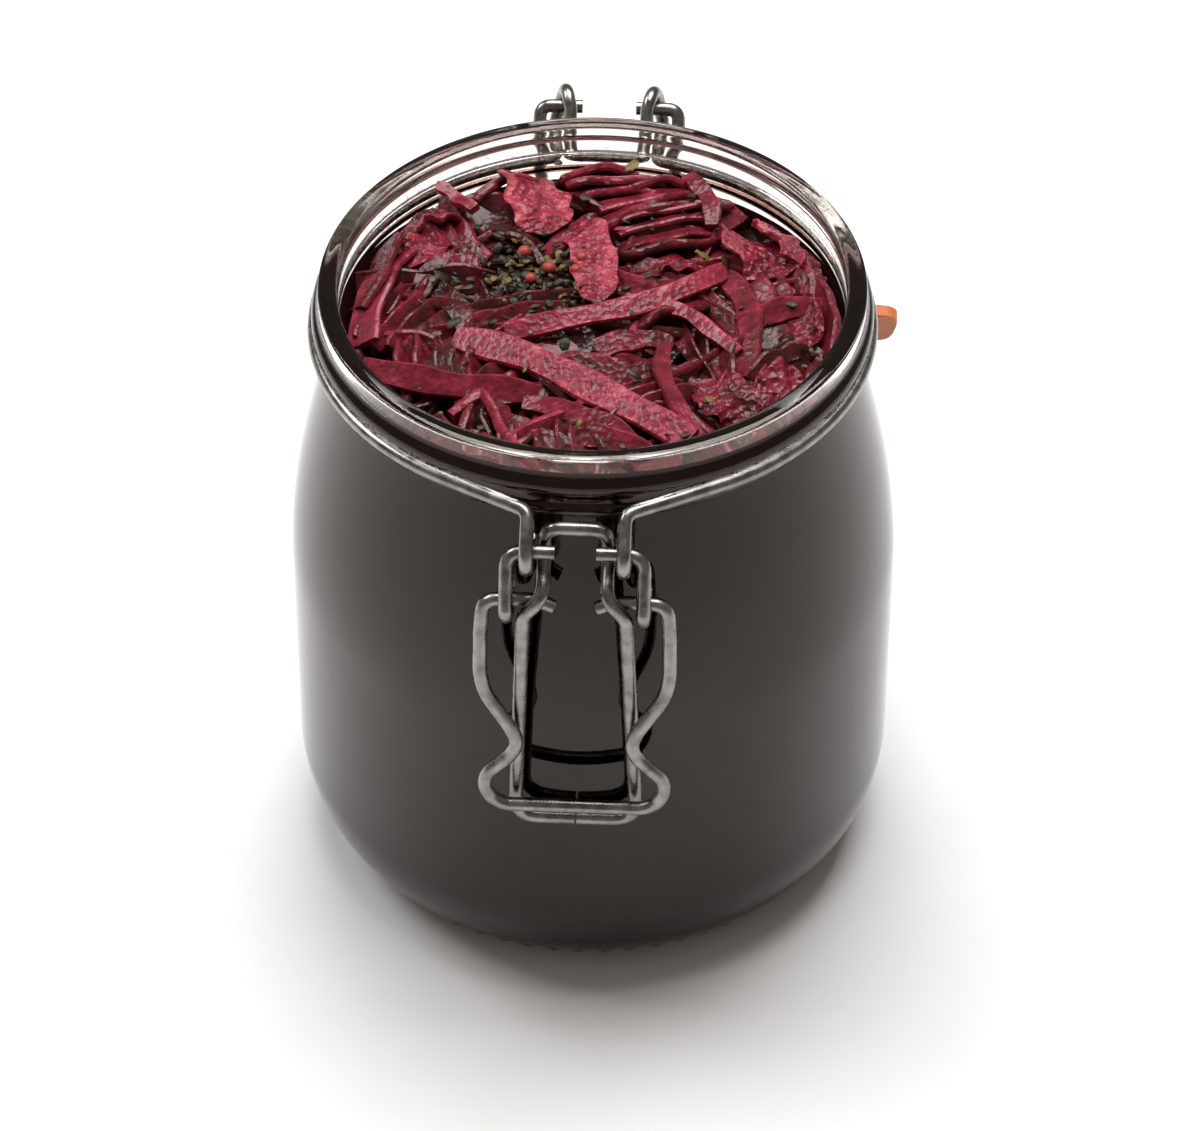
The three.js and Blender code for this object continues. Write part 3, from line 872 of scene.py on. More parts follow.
@dataclass
class Clamp:
    """The front clamp: two links on the upper pins, the bail loop and the wavy lever."""

    gauge: WireGauge
    finish: bpy.types.Material
    upper: Pin
    lower: Pin
    droop: float = 1.3
    link_x: float = 11.2
    link_bend: float = 3.0
    bail_bend: float = 4.0
    arch_x: float = 5.2
    arch_rise: float = 2.9
    bail_top: float = 8.4
    bail_bottom: Vector = field(default_factory=lambda: Vector((10.2, -54.7, 45.1)))
    butt_gap: float = 0.3
    hook_tip: float = math.pi / 12
    lever_corner: float = 15.0
    lever_wave: tuple[tuple[float, float, float], ...] = (
        (-15.5, -54.4, 86.6), (-15.0, -56.6, 76.4), (-9.6, -58.1, 65.5), (-14.5, -58.2, 57.8),
        (-14.2, -58.2, 53.4), (-11.4, -58.2, 51.3), (-7.5, -58.2, 51.2))

    def build(self) -> list[bpy.types.Object]:
        """Bend the four wires and dress them."""
        return [self.link("left_link", -1, "link_left"), self.link("right_link", 1, "link_right"),
                self.bail(), self.lever()]

    def link(self, name: str, side: int, node: str) -> bpy.types.Object:
        """One link: an upper pin, a short arm and the hook that carries the lever.

        Args:
            name: the piece's name.
            side: -1 for left, 1 for right.
            node: the frame's node that it replaces.

        Returns:
            The link.
        """
        x = side * self.link_x
        corners = [Vector((side * self.upper.end, self.upper.y, self.upper.z)),
                   Vector((x, self.upper.y, self.upper.z)),
                   *self.gauge.eye_turn(self.lower, math.pi, 2 * math.pi + self.hook_tip, x, x)]
        piece = self.gauge.tube(name, bent(corners, self.link_bend))
        return settle(piece, Body.CLASP, self.finish, [node])

    def bail(self) -> bpy.types.Object:
        """Bend the loop that holds the lid down, behind the upper pins and before the lower pins.

        Returns:
            The loop.
        """
        clear = self.gauge.thickness + GAP
        arch_y = self.upper.y + clear
        front_y = self.lower.y - clear
        low = self.bail_bottom
        half = [Vector((self.butt_gap / 2, low.y, low.z)), low,
                Vector((self.bail_top, front_y, self.lower.z - self.gauge.thickness / 2)),
                Vector((self.arch_x, front_y, self.lower.z + clear)),
                Vector((self.arch_x, arch_y, self.upper.z - clear - GAP)),
                Vector((self.arch_x, arch_y, self.upper.z + self.arch_rise))]
        piece = self.gauge.tube("bail_loop", bent([*half, *mirrored(half)], self.bail_bend))
        return settle(piece, Body.CLASP, self.finish, ["bail_ring"])

    def lever(self) -> bpy.types.Object:
        """Bend the wavy frame that the hand lifts, its ends turned in as the lower pins.

        Returns:
            The lever.
        """
        pin = self.lower
        half = [Vector((-pin.end, pin.y, pin.z - self.droop)),
                Vector((-self.arch_x - self.gauge.thickness / 2, pin.y, pin.z)),
                Vector((-self.lever_corner, pin.y, pin.z)),
                *waved([Vector(place) for place in self.lever_wave])]
        piece = self.gauge.tube("lever_frame", bent([*half, *mirrored(half)], self.link_bend))
        return settle(piece, Body.LEVER, self.finish, ["lever"])


@dataclass
class HangingLid:
    """The glass lid with its wire and seal, shaped as it sits when shut, then swung open."""

    gauge: WireGauge
    hinge: Pin
    glass: bpy.types.Material
    steel: bpy.types.Material
    rubber: bpy.types.Material
    lip_top: float
    opened: float = math.radians(246.5)
    seal_thickness: float = 2.4
    seal_radius: float = 46.2
    seal_hole: float = 39.5
    tab_reach: float = 53.2
    tab_half: float = 5.5
    tab_angle: float = math.radians(-10)
    tab_squareness: float = 4.0
    tab_margin: float = 1.05
    tab_points: int = 44
    ring_points: int = 150
    seal_edge: float = 0.45
    seal_edge_steps: int = 3
    radius: float = 46.5
    flange: float = 3.3
    edge: float = 1.0
    plug_drop: float = 2.0
    plug_hollow: float = 1.4
    plug_edge: float = 0.6
    dome_foot: float = 41.6
    dome_shoulder: float = 39.6
    dome_rise: float = 3.0
    dome_crown: float = 6.6
    dome_fillet: float = 0.4
    dome_wall: float = 0.7
    dome_pull: tuple[Pair, Pair] = ((0.7, 0.85), (0.35, 1.0))
    dome_steps: int = 16
    wire_radius: float = 43.2
    leg_x: float = 12.2
    leg_knee: float = 46.9
    wire_bend: float = 2.1
    steps: int = 128

    @property
    def seal_bottom(self) -> float:
        """Underside of the seal when the lid is shut."""
        return self.lip_top + GAP

    @property
    def seat(self) -> float:
        """Underside of the lid's flange when it is shut."""
        return self.seal_bottom + self.seal_thickness + GAP

    def build(self) -> list[bpy.types.Object]:
        """Make the three pieces shut, swing them open and dress them.

        Returns:
            The pieces.
        """
        pieces = [(self.make_glass(), Slot.GLASS, self.glass, "lid_glass"),
                  (self.make_wire(), Slot.WIRE, self.steel, "lid_wire"),
                  (self.make_seal(), Slot.SEAL, self.rubber, "seal_ring")]
        for piece, slot, finish, node in pieces:
            self.swing(piece)
            settle(piece, Body.LID, finish, [node])
        return [row[0] for row in pieces]

    def swing(self, piece: bpy.types.Object) -> None:
        """Turn a shut piece's mesh about the hinge to where it hangs.

        Args:
            piece: the lid's glass, wire or seal.
        """
        pivot = Vector((0.0, self.hinge.y, self.hinge.z)) * MM
        turn = Matrix.Translation(pivot) @ Matrix.Rotation(-self.opened, 4, "X") @ Matrix.Translation(-pivot)
        piece.data.transform(turn)
        piece.data.update()

    def make_glass(self) -> bpy.types.Object:
        """Spin the lid: a shallow dome on a flange, with a plug below that centres the seal.

        Returns:
            The lid, shut.
        """
        top = self.seat + self.flange
        low = self.seat - self.plug_drop
        plug = self.seal_hole - GAP
        corner = [(plug - 2 * self.plug_drop, low), (plug - self.plug_edge, low), (plug, low),
                  (plug, low + self.plug_edge), (plug, self.seat), (self.radius - self.edge, self.seat),
                  (self.radius, self.seat), (self.radius, self.seat + self.edge),
                  (self.radius, top - self.edge), (self.radius, top), (self.radius - self.edge, top),
                  (self.dome_foot + self.dome_fillet, top), (self.dome_foot, top),
                  (self.dome_foot, top + self.dome_rise * self.dome_wall),
                  (self.dome_shoulder, top + self.dome_rise)]
        pulled = [(self.dome_shoulder * out, top + self.dome_crown * up) for out, up in self.dome_pull]
        dome = bezier([(self.dome_shoulder, top + self.dome_rise), *pulled, (0.0, top + self.dome_crown)],
                      self.dome_steps)
        profile = [(0.0, low + self.plug_hollow), *softened(corner), *dome[1:]]
        return spun("clear_lid", profile, self.steps)

    def make_wire(self) -> bpy.types.Object:
        """Bend the lid's wire: a hinge pin, a leg and the hoop round the dome.

        Returns:
            The wire, shut.
        """
        height = self.seat + self.flange + GAP + self.gauge.thickness / 2
        arrive = math.asin((self.leg_x + self.gauge.bend) / self.wire_radius)
        turn_off = math.sqrt(self.wire_radius**2 - self.leg_x**2)
        half = [Vector((-self.hinge.end, self.hinge.y, self.hinge.z)),
                Vector((-self.leg_x, self.hinge.y, self.hinge.z)),
                Vector((-self.leg_x, self.leg_knee, height)),
                Vector((-self.leg_x, turn_off, height)),
                *self.gauge.ring_turn(self.wire_radius, height, arrive, math.pi)]
        return self.gauge.tube("lid_hoop", bent([*half, *mirrored(half[:-1])], self.wire_bend))

    def tab_outline(self, angle: float) -> float:
        """Radius of the seal's outer edge.

        Args:
            angle: from the tab's middle, in radians.

        Returns:
            The radius in millimetres.
        """
        if math.cos(angle) < 0:
            return self.seal_radius
        across = abs(math.sin(angle))
        power = self.tab_squareness
        inside = max(0.0, 1 - (across * self.tab_reach / self.tab_half) ** power) ** (1 / power)
        return self.seal_radius + (self.tab_reach - self.seal_radius) * inside

    def make_seal(self) -> bpy.types.Object:
        """Draw the hole's edge, extrude it out to the outline with its tab, and give it thickness.

        Returns:
            The seal, shut.
        """
        span = math.asin(self.tab_half / self.tab_reach) * self.tab_margin
        inside = [-span + 2 * span * i / self.tab_points for i in range(self.tab_points)]
        rest = [span + (2 * math.pi - 2 * span) * i / self.ring_points for i in range(self.ring_points)]
        angles = [*inside, *rest]
        deselect()
        bpy.ops.mesh.primitive_circle_add(vertices=len(angles), radius=self.seal_hole * MM)
        piece = bpy.context.active_object
        piece.name = "orange_seal"
        self.place_ring(piece, angles, lambda a: self.seal_hole)
        bpy.ops.object.mode_set(mode="EDIT")
        bpy.ops.mesh.select_all(action="SELECT")
        bpy.ops.mesh.extrude_edges_move()
        bpy.ops.object.mode_set(mode="OBJECT")
        self.place_ring(piece, angles, self.tab_outline, len(angles))
        bpy.ops.object.mode_set(mode="EDIT")
        bpy.ops.mesh.select_all(action="SELECT")
        bpy.ops.mesh.extrude_region_move(TRANSFORM_OT_translate={"value": (0, 0, self.seal_thickness * MM)})
        bpy.ops.object.mode_set(mode="OBJECT")
        clean_shell(SMOOTH_TURNED)
        soft = piece.modifiers.new("soft_edge", "BEVEL")
        soft.width = self.seal_edge * MM
        soft.segments = self.seal_edge_steps
        soft.limit_method = "ANGLE"
        bpy.ops.object.modifier_apply(modifier=soft.name)
        bpy.ops.object.shade_smooth_by_angle(angle=SMOOTH_WIRE)
        return piece

    def place_ring(self, piece: bpy.types.Object, angles: Sequence[float],
                   radius_at: Callable[[float], float], first: int = 0) -> None:
        """Set a ring of vertices at these angles from the tab's middle.

        Args:
            piece: the seal.
            angles: one angle for each vertex.
            radius_at: gives the radius at an angle.
            first: the number of the ring's first vertex.
        """
        for i, angle in enumerate(angles):
            turn = angle + self.tab_angle
            radius = radius_at(angle)
            place = Vector((radius * math.cos(turn), radius * math.sin(turn), self.seal_bottom))
            piece.data.vertices[first + i].co = place * MM


@dataclass(frozen=True)
class Strip:
    """One shred: its ends in plan, its width, the height of its middle and how it lies."""

    start: Pair
    end: Pair
    width: float
    height: float
    bow: float = 0.0
    roll: float = 0.0
    arch: float = 1.2
    tone: float = 0.6
    thickness: float = 1.5
    twist: float = 0.0
    cup: float = 0.0
    wave: float = 0.25
    end_width: float = 0.8
    ruffle: float = 0.0


@dataclass(frozen=True)
class Leaf(Strip):
    """A broad piece of leaf: narrow at its ends and ruffled along its sides."""

    end_width: float = 0.12
    ruffle: float = 0.5


CUT_SECTION = ((1.0, 0.4), (0.86, 1.0), (0.3, 1.0), (-0.3, 1.0), (-0.86, 1.0), (-1.0, 0.4),
               (-1.0, -0.4), (-0.86, -1.0), (-0.3, -1.0), (0.3, -1.0), (0.86, -1.0), (1.0, -0.4))

# Shreds that lie lower are given darker tones: painted shade in the heap's depths, on top of the shreds' own
# differences in tone.
LONG_STRIPS = (
    Strip((-22.6, -7.1), (17.6, -32.0), 5.4, 110.6, 1.5, 0.45, 1.0, 0.68, 1.4),
    Strip((-14.3, -5.9), (21.8, 12.0), 3.8, 111.2, -3.2, 0.5, 1.2, 0.71, 1.3),
    Strip((10.0, 3.0), (24.7, -9.2), 2.6, 110.6, 1.2, 0.55, 1.0, 0.7, 1.1),
    Strip((1.5, -10.5), (13.5, -7.5), 3.6, 110.4, 1.6, 0.5, 0.8, 0.51),
    Strip((13.0, -6.5), (19.5, -30.0), 3.0, 110.4, -3.2, -0.3, 1.2, 0.61),
    Strip((-37.5, -15.0), (-8.0, -20.5), 4.6, 109.6, -1.6, 0.7, 0.8, 0.64, 1.4),
    Strip((-10.0, -22.6), (9.5, -32.5), 3.4, 109.8, 1.0, 0.6, 1.2, 0.66),
    Strip((21.5, 12.0), (24.8, -14.0), 4.4, 110.0, 3.6, 0.35, 1.4, 0.47, 1.4),
    Strip((25.0, -1.5), (40.0, 3.4), 4.2, 109.8, 2.0, 0.7, 1.2, 0.59),
    Strip((27.0, -3.0), (24.0, -16.0), 5.0, 108.8, -3.0, 0.9, 1.0, 0.42),
    Strip((-38.5, -9.0), (-31.0, 20.0), 6.5, 110.0, 3.0, -0.5, 1.6, 0.56, 1.3),
    Strip((-40.5, 0.0), (-36.5, 19.0), 7.0, 109.8, -1.0, -0.9, 1.0, 0.47),
    Strip((-29.2, 30.0), (-22.1, 24.0), 2.2, 112.2, 0.8, 0.3, -0.6, 0.71),
    Strip((0.0, 23.6), (17.1, 35.1), 4.4, 109.8, 1.5, -0.5, 1.2, 0.47),
    Strip((2.9, 17.1), (20.3, 22.4), 4.2, 109.8, -1.0, -0.6, 1.0, 0.42),
    Strip((3.5, 27.5), (22.0, 31.0), 4.6, 109.6, 1.5, -0.6, 1.0, 0.44),
    Strip((15.0, 38.5), (19.8, 25.0), 3.2, 111.0, 1.0, 0.2, 0.8, 0.59),
    Strip((-30.0, 6.0), (-20.5, 14.0), 4.0, 109.6, 1.8, 0.4, 1.4, 0.42),
    Strip((-25.0, -7.0), (-26.0, -19.5), 5.2, 108.8, 1.0, 0.6, 1.0, 0.3),
    Strip((-20.5, -9.5), (-21.0, -18.5), 4.6, 108.6, -1.0, 0.7, 1.0, 0.26),
    Strip((6.0, -3.0), (19.0, 4.5), 4.4, 109.6, 1.0, -0.4, 1.0, 0.42),
    Strip((-22.8, 30.8), (-12.0, 37.5), 5.0, 109.8, 2.0, -0.7, 1.0, 0.61),
    Strip((-7.7, 38.0), (6.0, 40.0), 5.4, 109.6, 1.2, -0.9, 0.8, 0.63),
    Strip((4.0, 35.5), (15.0, 38.0), 5.0, 109.6, 0.8, -0.8, 0.8, 0.56),
    Strip((-5.0, -13.0), (6.5, -14.0), 4.6, 109.0, 1.0, 0.5, 1.0, 0.38),
    Strip((-13.8, -25.5), (-2.0, -33.0), 4.0, 108.6, -1.0, 0.4, 1.0, 0.42),
    Strip((-3.0, -27.0), (16.0, -36.0), 4.4, 108.8, -1.0, 0.7, 0.8, 0.51),
    Strip((28.0, -14.5), (36.5, -8.0), 6.0, 108.6, 1.0, 0.8, 1.0, 0.34),
    Strip((37.5, 10.0), (40.0, -7.0), 5.4, 109.4, 0.6, 1.1, 1.0, 0.51),
)

# Lower leaves are given darker tones: painted shade, on top of their own differences in tone.
BROAD_LEAVES = (
    Leaf((-15.5, 37.5), (-9.0, 21.5), 11.0, 111.0, 1.0, -0.25, 1.8, 0.74, 1.1, 0.2, 0.9),
    Leaf((-4.0, 24.5), (1.2, 3.0), 7.8, 110.6, 0.8, 0.2, 1.2, 0.7, 1.1, 0.0, 0.6),
    Leaf((21.5, 23.0), (31.0, 11.0), 11.5, 110.8, 1.0, -0.35, 1.4, 0.66, 1.1, 0.3, 0.8),
    Leaf((29.0, 28.0), (37.5, 15.0), 8.0, 110.6, 1.0, -0.7, 1.4, 0.76, 1.2, 0.0, 0.5),
    Leaf((17.5, -19.0), (27.0, -25.0), 9.0, 109.8, 1.5, 0.2, 1.6, 0.5, 1.1, 0.2, 1.0),
    Leaf((29.0, -20.0), (36.0, -14.0), 8.5, 109.4, -1.0, 0.5, 1.2, 0.68, 1.1, 0.0, 0.9),
    Leaf((-36.0, 21.0), (-27.5, 29.0), 8.0, 110.4, 1.2, -0.6, 1.4, 0.7, 1.2, 0.2, 0.8),
    Leaf((33.0, 7.5), (36.0, -6.0), 6.5, 109.2, 1.0, 0.5, 1.2, 0.5, 1.1, 0.0, 0.7),
    Leaf((-33.0, 12.0), (-26.0, 22.0), 7.0, 110.6, -1.0, 0.1, 1.6, 0.62, 1.1, 0.2, 0.8),
    Leaf((8.0, 12.0), (18.0, 14.5), 6.0, 109.4, 1.0, -0.3, 1.0, 0.5, 1.1, 0.0, 0.6),
)


@dataclass(frozen=True)
class Bundle:
    """Slices of one leaf that still lie side by side, as the knife left them."""

    middle: Pair
    heading: float
    count: int
    length: float
    height: float
    tone: float
    spacing: float = 2.9
    roll: float = 0.7
    slip: Pair = (-2.0, 2.0)
    length_share: Pair = (0.8, 1.1)
    width: Pair = (3.2, 4.4)
    lift: Pair = (-0.4, 0.4)
    bow: Pair = (0.2, 1.6)
    roll_change: Pair = (-0.2, 0.2)
    arch: Pair = (0.6, 1.4)
    tone_change: Pair = (-0.1, 0.12)
    thickness: Pair = (0.9, 1.4)

    def strips(self, draw: random.Random) -> list[Strip]:
        """Lay the slices side by side, each drawn a little out of line.

        Args:
            draw: the heap's random source.

        Returns:
            The slices.
        """
        angle = math.radians(self.heading)
        along = np.array([math.cos(angle), math.sin(angle)])
        across = np.array([-along[1], along[0]])
        strips = []
        for i in range(self.count):
            middle = self.middle + across * (i - (self.count - 1) / 2) * self.spacing
            middle = middle + along * draw.uniform(*self.slip)
            half = along * self.length / 2 * draw.uniform(*self.length_share)
            strips.append(Strip(
                tuple(middle - half), tuple(middle + half), draw.uniform(*self.width),
                self.height + draw.uniform(*self.lift), draw.uniform(*self.bow),
                self.roll + draw.uniform(*self.roll_change), draw.uniform(*self.arch),
                self.tone + draw.uniform(*self.tone_change), draw.uniform(*self.thickness)))
        return strips


# Lower bundles are given darker tones: painted shade in the heap's depths.
BUNDLES = (
    Bundle((-24.0, -13.0), 95, 5, 13.0, 108.8, 0.34),
    Bundle((11.0, 27.0), 18, 4, 21.0, 109.6, 0.5, 3.6, -0.5),
    Bundle((-6.0, -30.0), 100, 5, 12.0, 108.2, 0.34),
    Bundle((28.0, -16.0), 75, 4, 13.0, 108.4, 0.36),
    Bundle((-12.0, 0.0), 15, 3, 18.0, 108.6, 0.32),
    Bundle((9.0, 10.0), 160, 4, 16.0, 108.8, 0.4, 3.2, -0.6),
    Bundle((-31.0, -3.0), 60, 4, 15.0, 108.6, 0.38),
    Bundle((33.0, 10.0), 110, 4, 13.0, 109.0, 0.48, 3.0, -0.6),
    Bundle((2.0, 36.0), 5, 3, 18.0, 109.4, 0.52, 3.0, -0.6),
    Bundle((-27.0, 20.0), 120, 4, 16.0, 109.2, 0.46, 3.0, -0.5),
    Bundle((8.0, -20.0), 35, 4, 16.0, 108.4, 0.4),
)


@dataclass(frozen=True)
class FillLayer:
    """A layer of short shreds under the top ones, drawn at random, its tone darker the deeper it lies as
    painted shade.
    """

    height: float
    count: int
    tone: float
    edge_share: float = 0.96
    half_length: Pair = (6.5, 15.0)
    width: Pair = (2.6, 5.6)
    lift: Pair = (-0.6, 0.8)
    bow: Pair = (-6.0, 6.0)
    roll: Pair = (-1.1, 1.1)
    arch: Pair = (0.4, 1.8)
    tone_change: Pair = (-0.18, 0.22)
    thickness: Pair = (1.0, 1.9)
    twist: Pair = (-0.5, 0.5)
    cup: Pair = (-0.4, 0.5)
    wave: Pair = (0.1, 0.6)
    end_width: Pair = (0.25, 1.0)

    def strip(self, draw: random.Random, reach: float, number: int) -> Strip:
        """Draw one shred, the layer's shreds being spread evenly from the middle to the wall.

        Args:
            draw: the heap's random source.
            reach: radius of the room for the shreds.
            number: which of the layer's shreds it is.

        Returns:
            The shred.
        """
        turn = draw.uniform(0, 2 * math.pi)
        heading = draw.uniform(0, math.pi)
        half = draw.uniform(*self.half_length)
        middle = reach * self.edge_share * math.sqrt((number + 0.5) / self.count)
        x, y = middle * math.cos(turn), middle * math.sin(turn)
        dx, dy = half * math.cos(heading), half * math.sin(heading)
        return Strip(
            (x - dx, y - dy), (x + dx, y + dy), draw.uniform(*self.width),
            self.height + draw.uniform(*self.lift), draw.uniform(*self.bow), draw.uniform(*self.roll),
            draw.uniform(*self.arch), self.tone + draw.uniform(*self.tone_change),
            draw.uniform(*self.thickness), draw.uniform(*self.twist), draw.uniform(*self.cup),
            draw.uniform(*self.wave), draw.uniform(*self.end_width))


class PieceMesh:
    """Collects many small closed shapes into one mesh, each vertex with its piece's tone."""

    def __init__(self) -> None:
        """Start empty."""
        self.places: list[np.ndarray] = []
        self.faces: list[Face] = []
        self.tones: list[np.ndarray] = []
        self.count = 0

    def add(self, places: np.ndarray, faces: Sequence[Face], tone: np.ndarray) -> None:
        """Add one closed shape.

        Args:
            places: its vertices in millimetres.
            faces: its faces by vertex number.
            tone: one value from 0 to 1 for each vertex.
        """
        self.faces.extend(tuple(i + self.count for i in face) for face in faces)
        self.places.append(places)
        self.tones.append(tone)
        self.count += len(places)

    def piece(self, name: str) -> bpy.types.Object:
        """Make the joined mesh, smooth, with its tone attribute.

        Args:
            name: the piece's name.

        Returns:
            The piece.
        """
        mesh = bpy.data.meshes.new(name)
        mesh.from_pydata(np.concatenate(self.places) * MM, [], self.faces)
        tone = mesh.attributes.new(TONE, "FLOAT", "POINT")
        tone.data.foreach_set("value", np.concatenate(self.tones).astype(np.float32))
        mesh.polygons.foreach_set("use_smooth", [True] * len(mesh.polygons))
        mesh.update()
        piece = bpy.data.objects.new(name, mesh)
        bpy.context.collection.objects.link(piece)
        deselect()
        piece.select_set(True)
        bpy.context.view_layer.objects.active = piece
        bpy.ops.object.shade_smooth_by_angle(angle=SMOOTH_CUT)
        return piece


@dataclass(frozen=True)
class ShredForm:
    """What all shreds share: how they wave, taper and change in tone along their length.

    Each wave is counted in half turns from end to end.
    """

    sections: int = 18
    side_wave: float = 2.3
    rise_wave: float = 3.1
    width_wave: float = 4.7
    ruffle_wave: float = 5.0
    width_change: float = 0.1
    twist_turn: float = 4.0
    taper_rate: float = 1.8
    taper_power: float = 0.6
    end_depth: float = 0.65
    cup_level: float = 0.4
    edge_tone: float = 0.1
    fibre_tone: float = 0.06
    fibre_count: float = 8.0
    length_tone: float = 0.08
    length_wave: float = 3.0
    cut_tone: float = 0.25

    def ribbon(self, strip: Strip, phase: float) -> tuple[np.ndarray, list[Face], np.ndarray]:
        """Shape one shred as a closed ribbon with soft corners.

        Args:
            strip: its sizes and place.
            phase: where its waves start, in radians.

        Returns:
            Vertices in millimetres, faces, and a tone for each vertex.
        """
        out, up = np.array(CUT_SECTION).T
        t = np.linspace(0.0, 1.0, self.sections)
        half_turns = math.pi * t
        hump = 4 * t * (1 - t)
        along = np.subtract(strip.end, strip.start)
        across = np.array([-along[1], along[0]]) / float(np.hypot(*along))
        sway = strip.bow * hump + strip.wave * np.sin(self.side_wave * half_turns + phase)
        plan = np.array(strip.start) + along * t[:, None] + across * sway[:, None]
        ripple = strip.wave * np.sin(self.rise_wave * half_turns + 2 * phase)
        middle = np.column_stack([plan, strip.height - strip.arch * (1 - hump) + ripple])
        ahead = np.gradient(middle, axis=0)
        ahead /= np.linalg.norm(ahead, axis=1)[:, None]
        roll = strip.roll + strip.twist * (t - 0.5) * self.twist_turn
        flat = np.array([across[0], across[1], 0.0])
        side = np.cos(roll)[:, None] * flat + np.sin(roll)[:, None] * np.array([0.0, 0.0, 1.0])
        side -= ahead * np.sum(side * ahead, axis=1)[:, None]
        side /= np.linalg.norm(side, axis=1)[:, None]
        lift = np.cross(ahead, side)
        spread = np.clip(hump * self.taper_rate, 0, 1) ** self.taper_power
        taper = strip.end_width + (1 - strip.end_width) * spread
        swell = 1 + self.width_change * np.sin(self.width_wave * half_turns + phase)
        half = strip.width / 2 * taper * swell
        deep = strip.thickness / 2 * (self.end_depth + (1 - self.end_depth) * taper)
        ruffle = strip.ruffle * np.sin(self.ruffle_wave * half_turns + phase)
        rings = (middle[:, None, :] + side[:, None, :] * (half[:, None] * out)[:, :, None]
                 + lift[:, None, :] * (deep[:, None] * up + strip.cup * (out**2 - self.cup_level)
                                       + ruffle[:, None] * out * np.abs(out))[:, :, None])
        places = np.concatenate([rings.reshape(-1, 3), middle[:1], middle[-1:]])
        fibres = self.fibre_tone * (np.cos(self.fibre_count * out + phase) - 1)
        lines = np.tile(self.edge_tone * np.abs(out) + fibres, self.sections)
        length = strip.tone + self.length_tone * np.sin(self.length_wave * t + phase)
        tone = np.concatenate([np.repeat(length, len(out)) + lines, [strip.tone + self.cut_tone] * 2])
        return places, self.skin(len(out)), np.clip(tone, 0, 1)

    def skin(self, sides: int) -> list[Face]:
        """Join the ribbon's rings and close its two ends.

        Args:
            sides: vertices in each ring.

        Returns:
            The faces; the ends' middles are the last two vertices.
        """
        faces: list[Face] = []
        end = (self.sections - 1) * sides
        first, last = end + sides, end + sides + 1
        for j in range(sides):
            k = (j + 1) % sides
            for ring in range(0, end, sides):
                faces.append((ring + j, ring + k, ring + sides + k, ring + sides + j))
            faces.append((first, k, j))
            faces.append((last, end + j, end + k))
        return faces


@dataclass(frozen=True)
class HeapRoom:
    """The room for loose pieces, inside the mouth and under the shut lid."""

    reach: float = 42.0
    top: float = 114.6

    def holds(self, places: np.ndarray) -> bool:
        """Whether all of these vertices lie inside."""
        return bool(np.hypot(places[:, 0], places[:, 1]).max() < self.reach and places[:, 2].max() < self.top)


@dataclass(frozen=True)
class Bit:
    """One bit of herb, or a berry: its place, radius, tone and height as a share of its width."""

    place: tuple[float, float, float]
    size: float
    tone: float
    flat: float = 0.45


SPRIG_FLAT = 0.35

SPRIGS = tuple(Bit((x, y, z), size, tone, SPRIG_FLAT) for x, y, z, size, tone in (
    (-34.0, 13.0, 111.4, 0.9, 0.62), (4.5, 38.5, 111.4, 0.9, 0.7), (20.5, -23.0, 111.2, 1.0, 0.7),
    (18.0, 13.5, 112.2, 0.8, 0.68), (-23.0, -4.5, 110.6, 1.0, 0.3), (-4.0, -9.0, 110.6, 1.0, 0.25),
    (8.0, -16.5, 110.4, 0.8, 0.2), (-26.0, 7.5, 110.8, 1.2, 0.28), (-8.0, 38.5, 111.8, 0.9, 0.5),
    (-3.0, 30.0, 111.0, 0.8, 0.3), (15.5, 31.0, 111.4, 0.8, 0.35), (33.0, 3.0, 111.0, 0.8, 0.3),
))


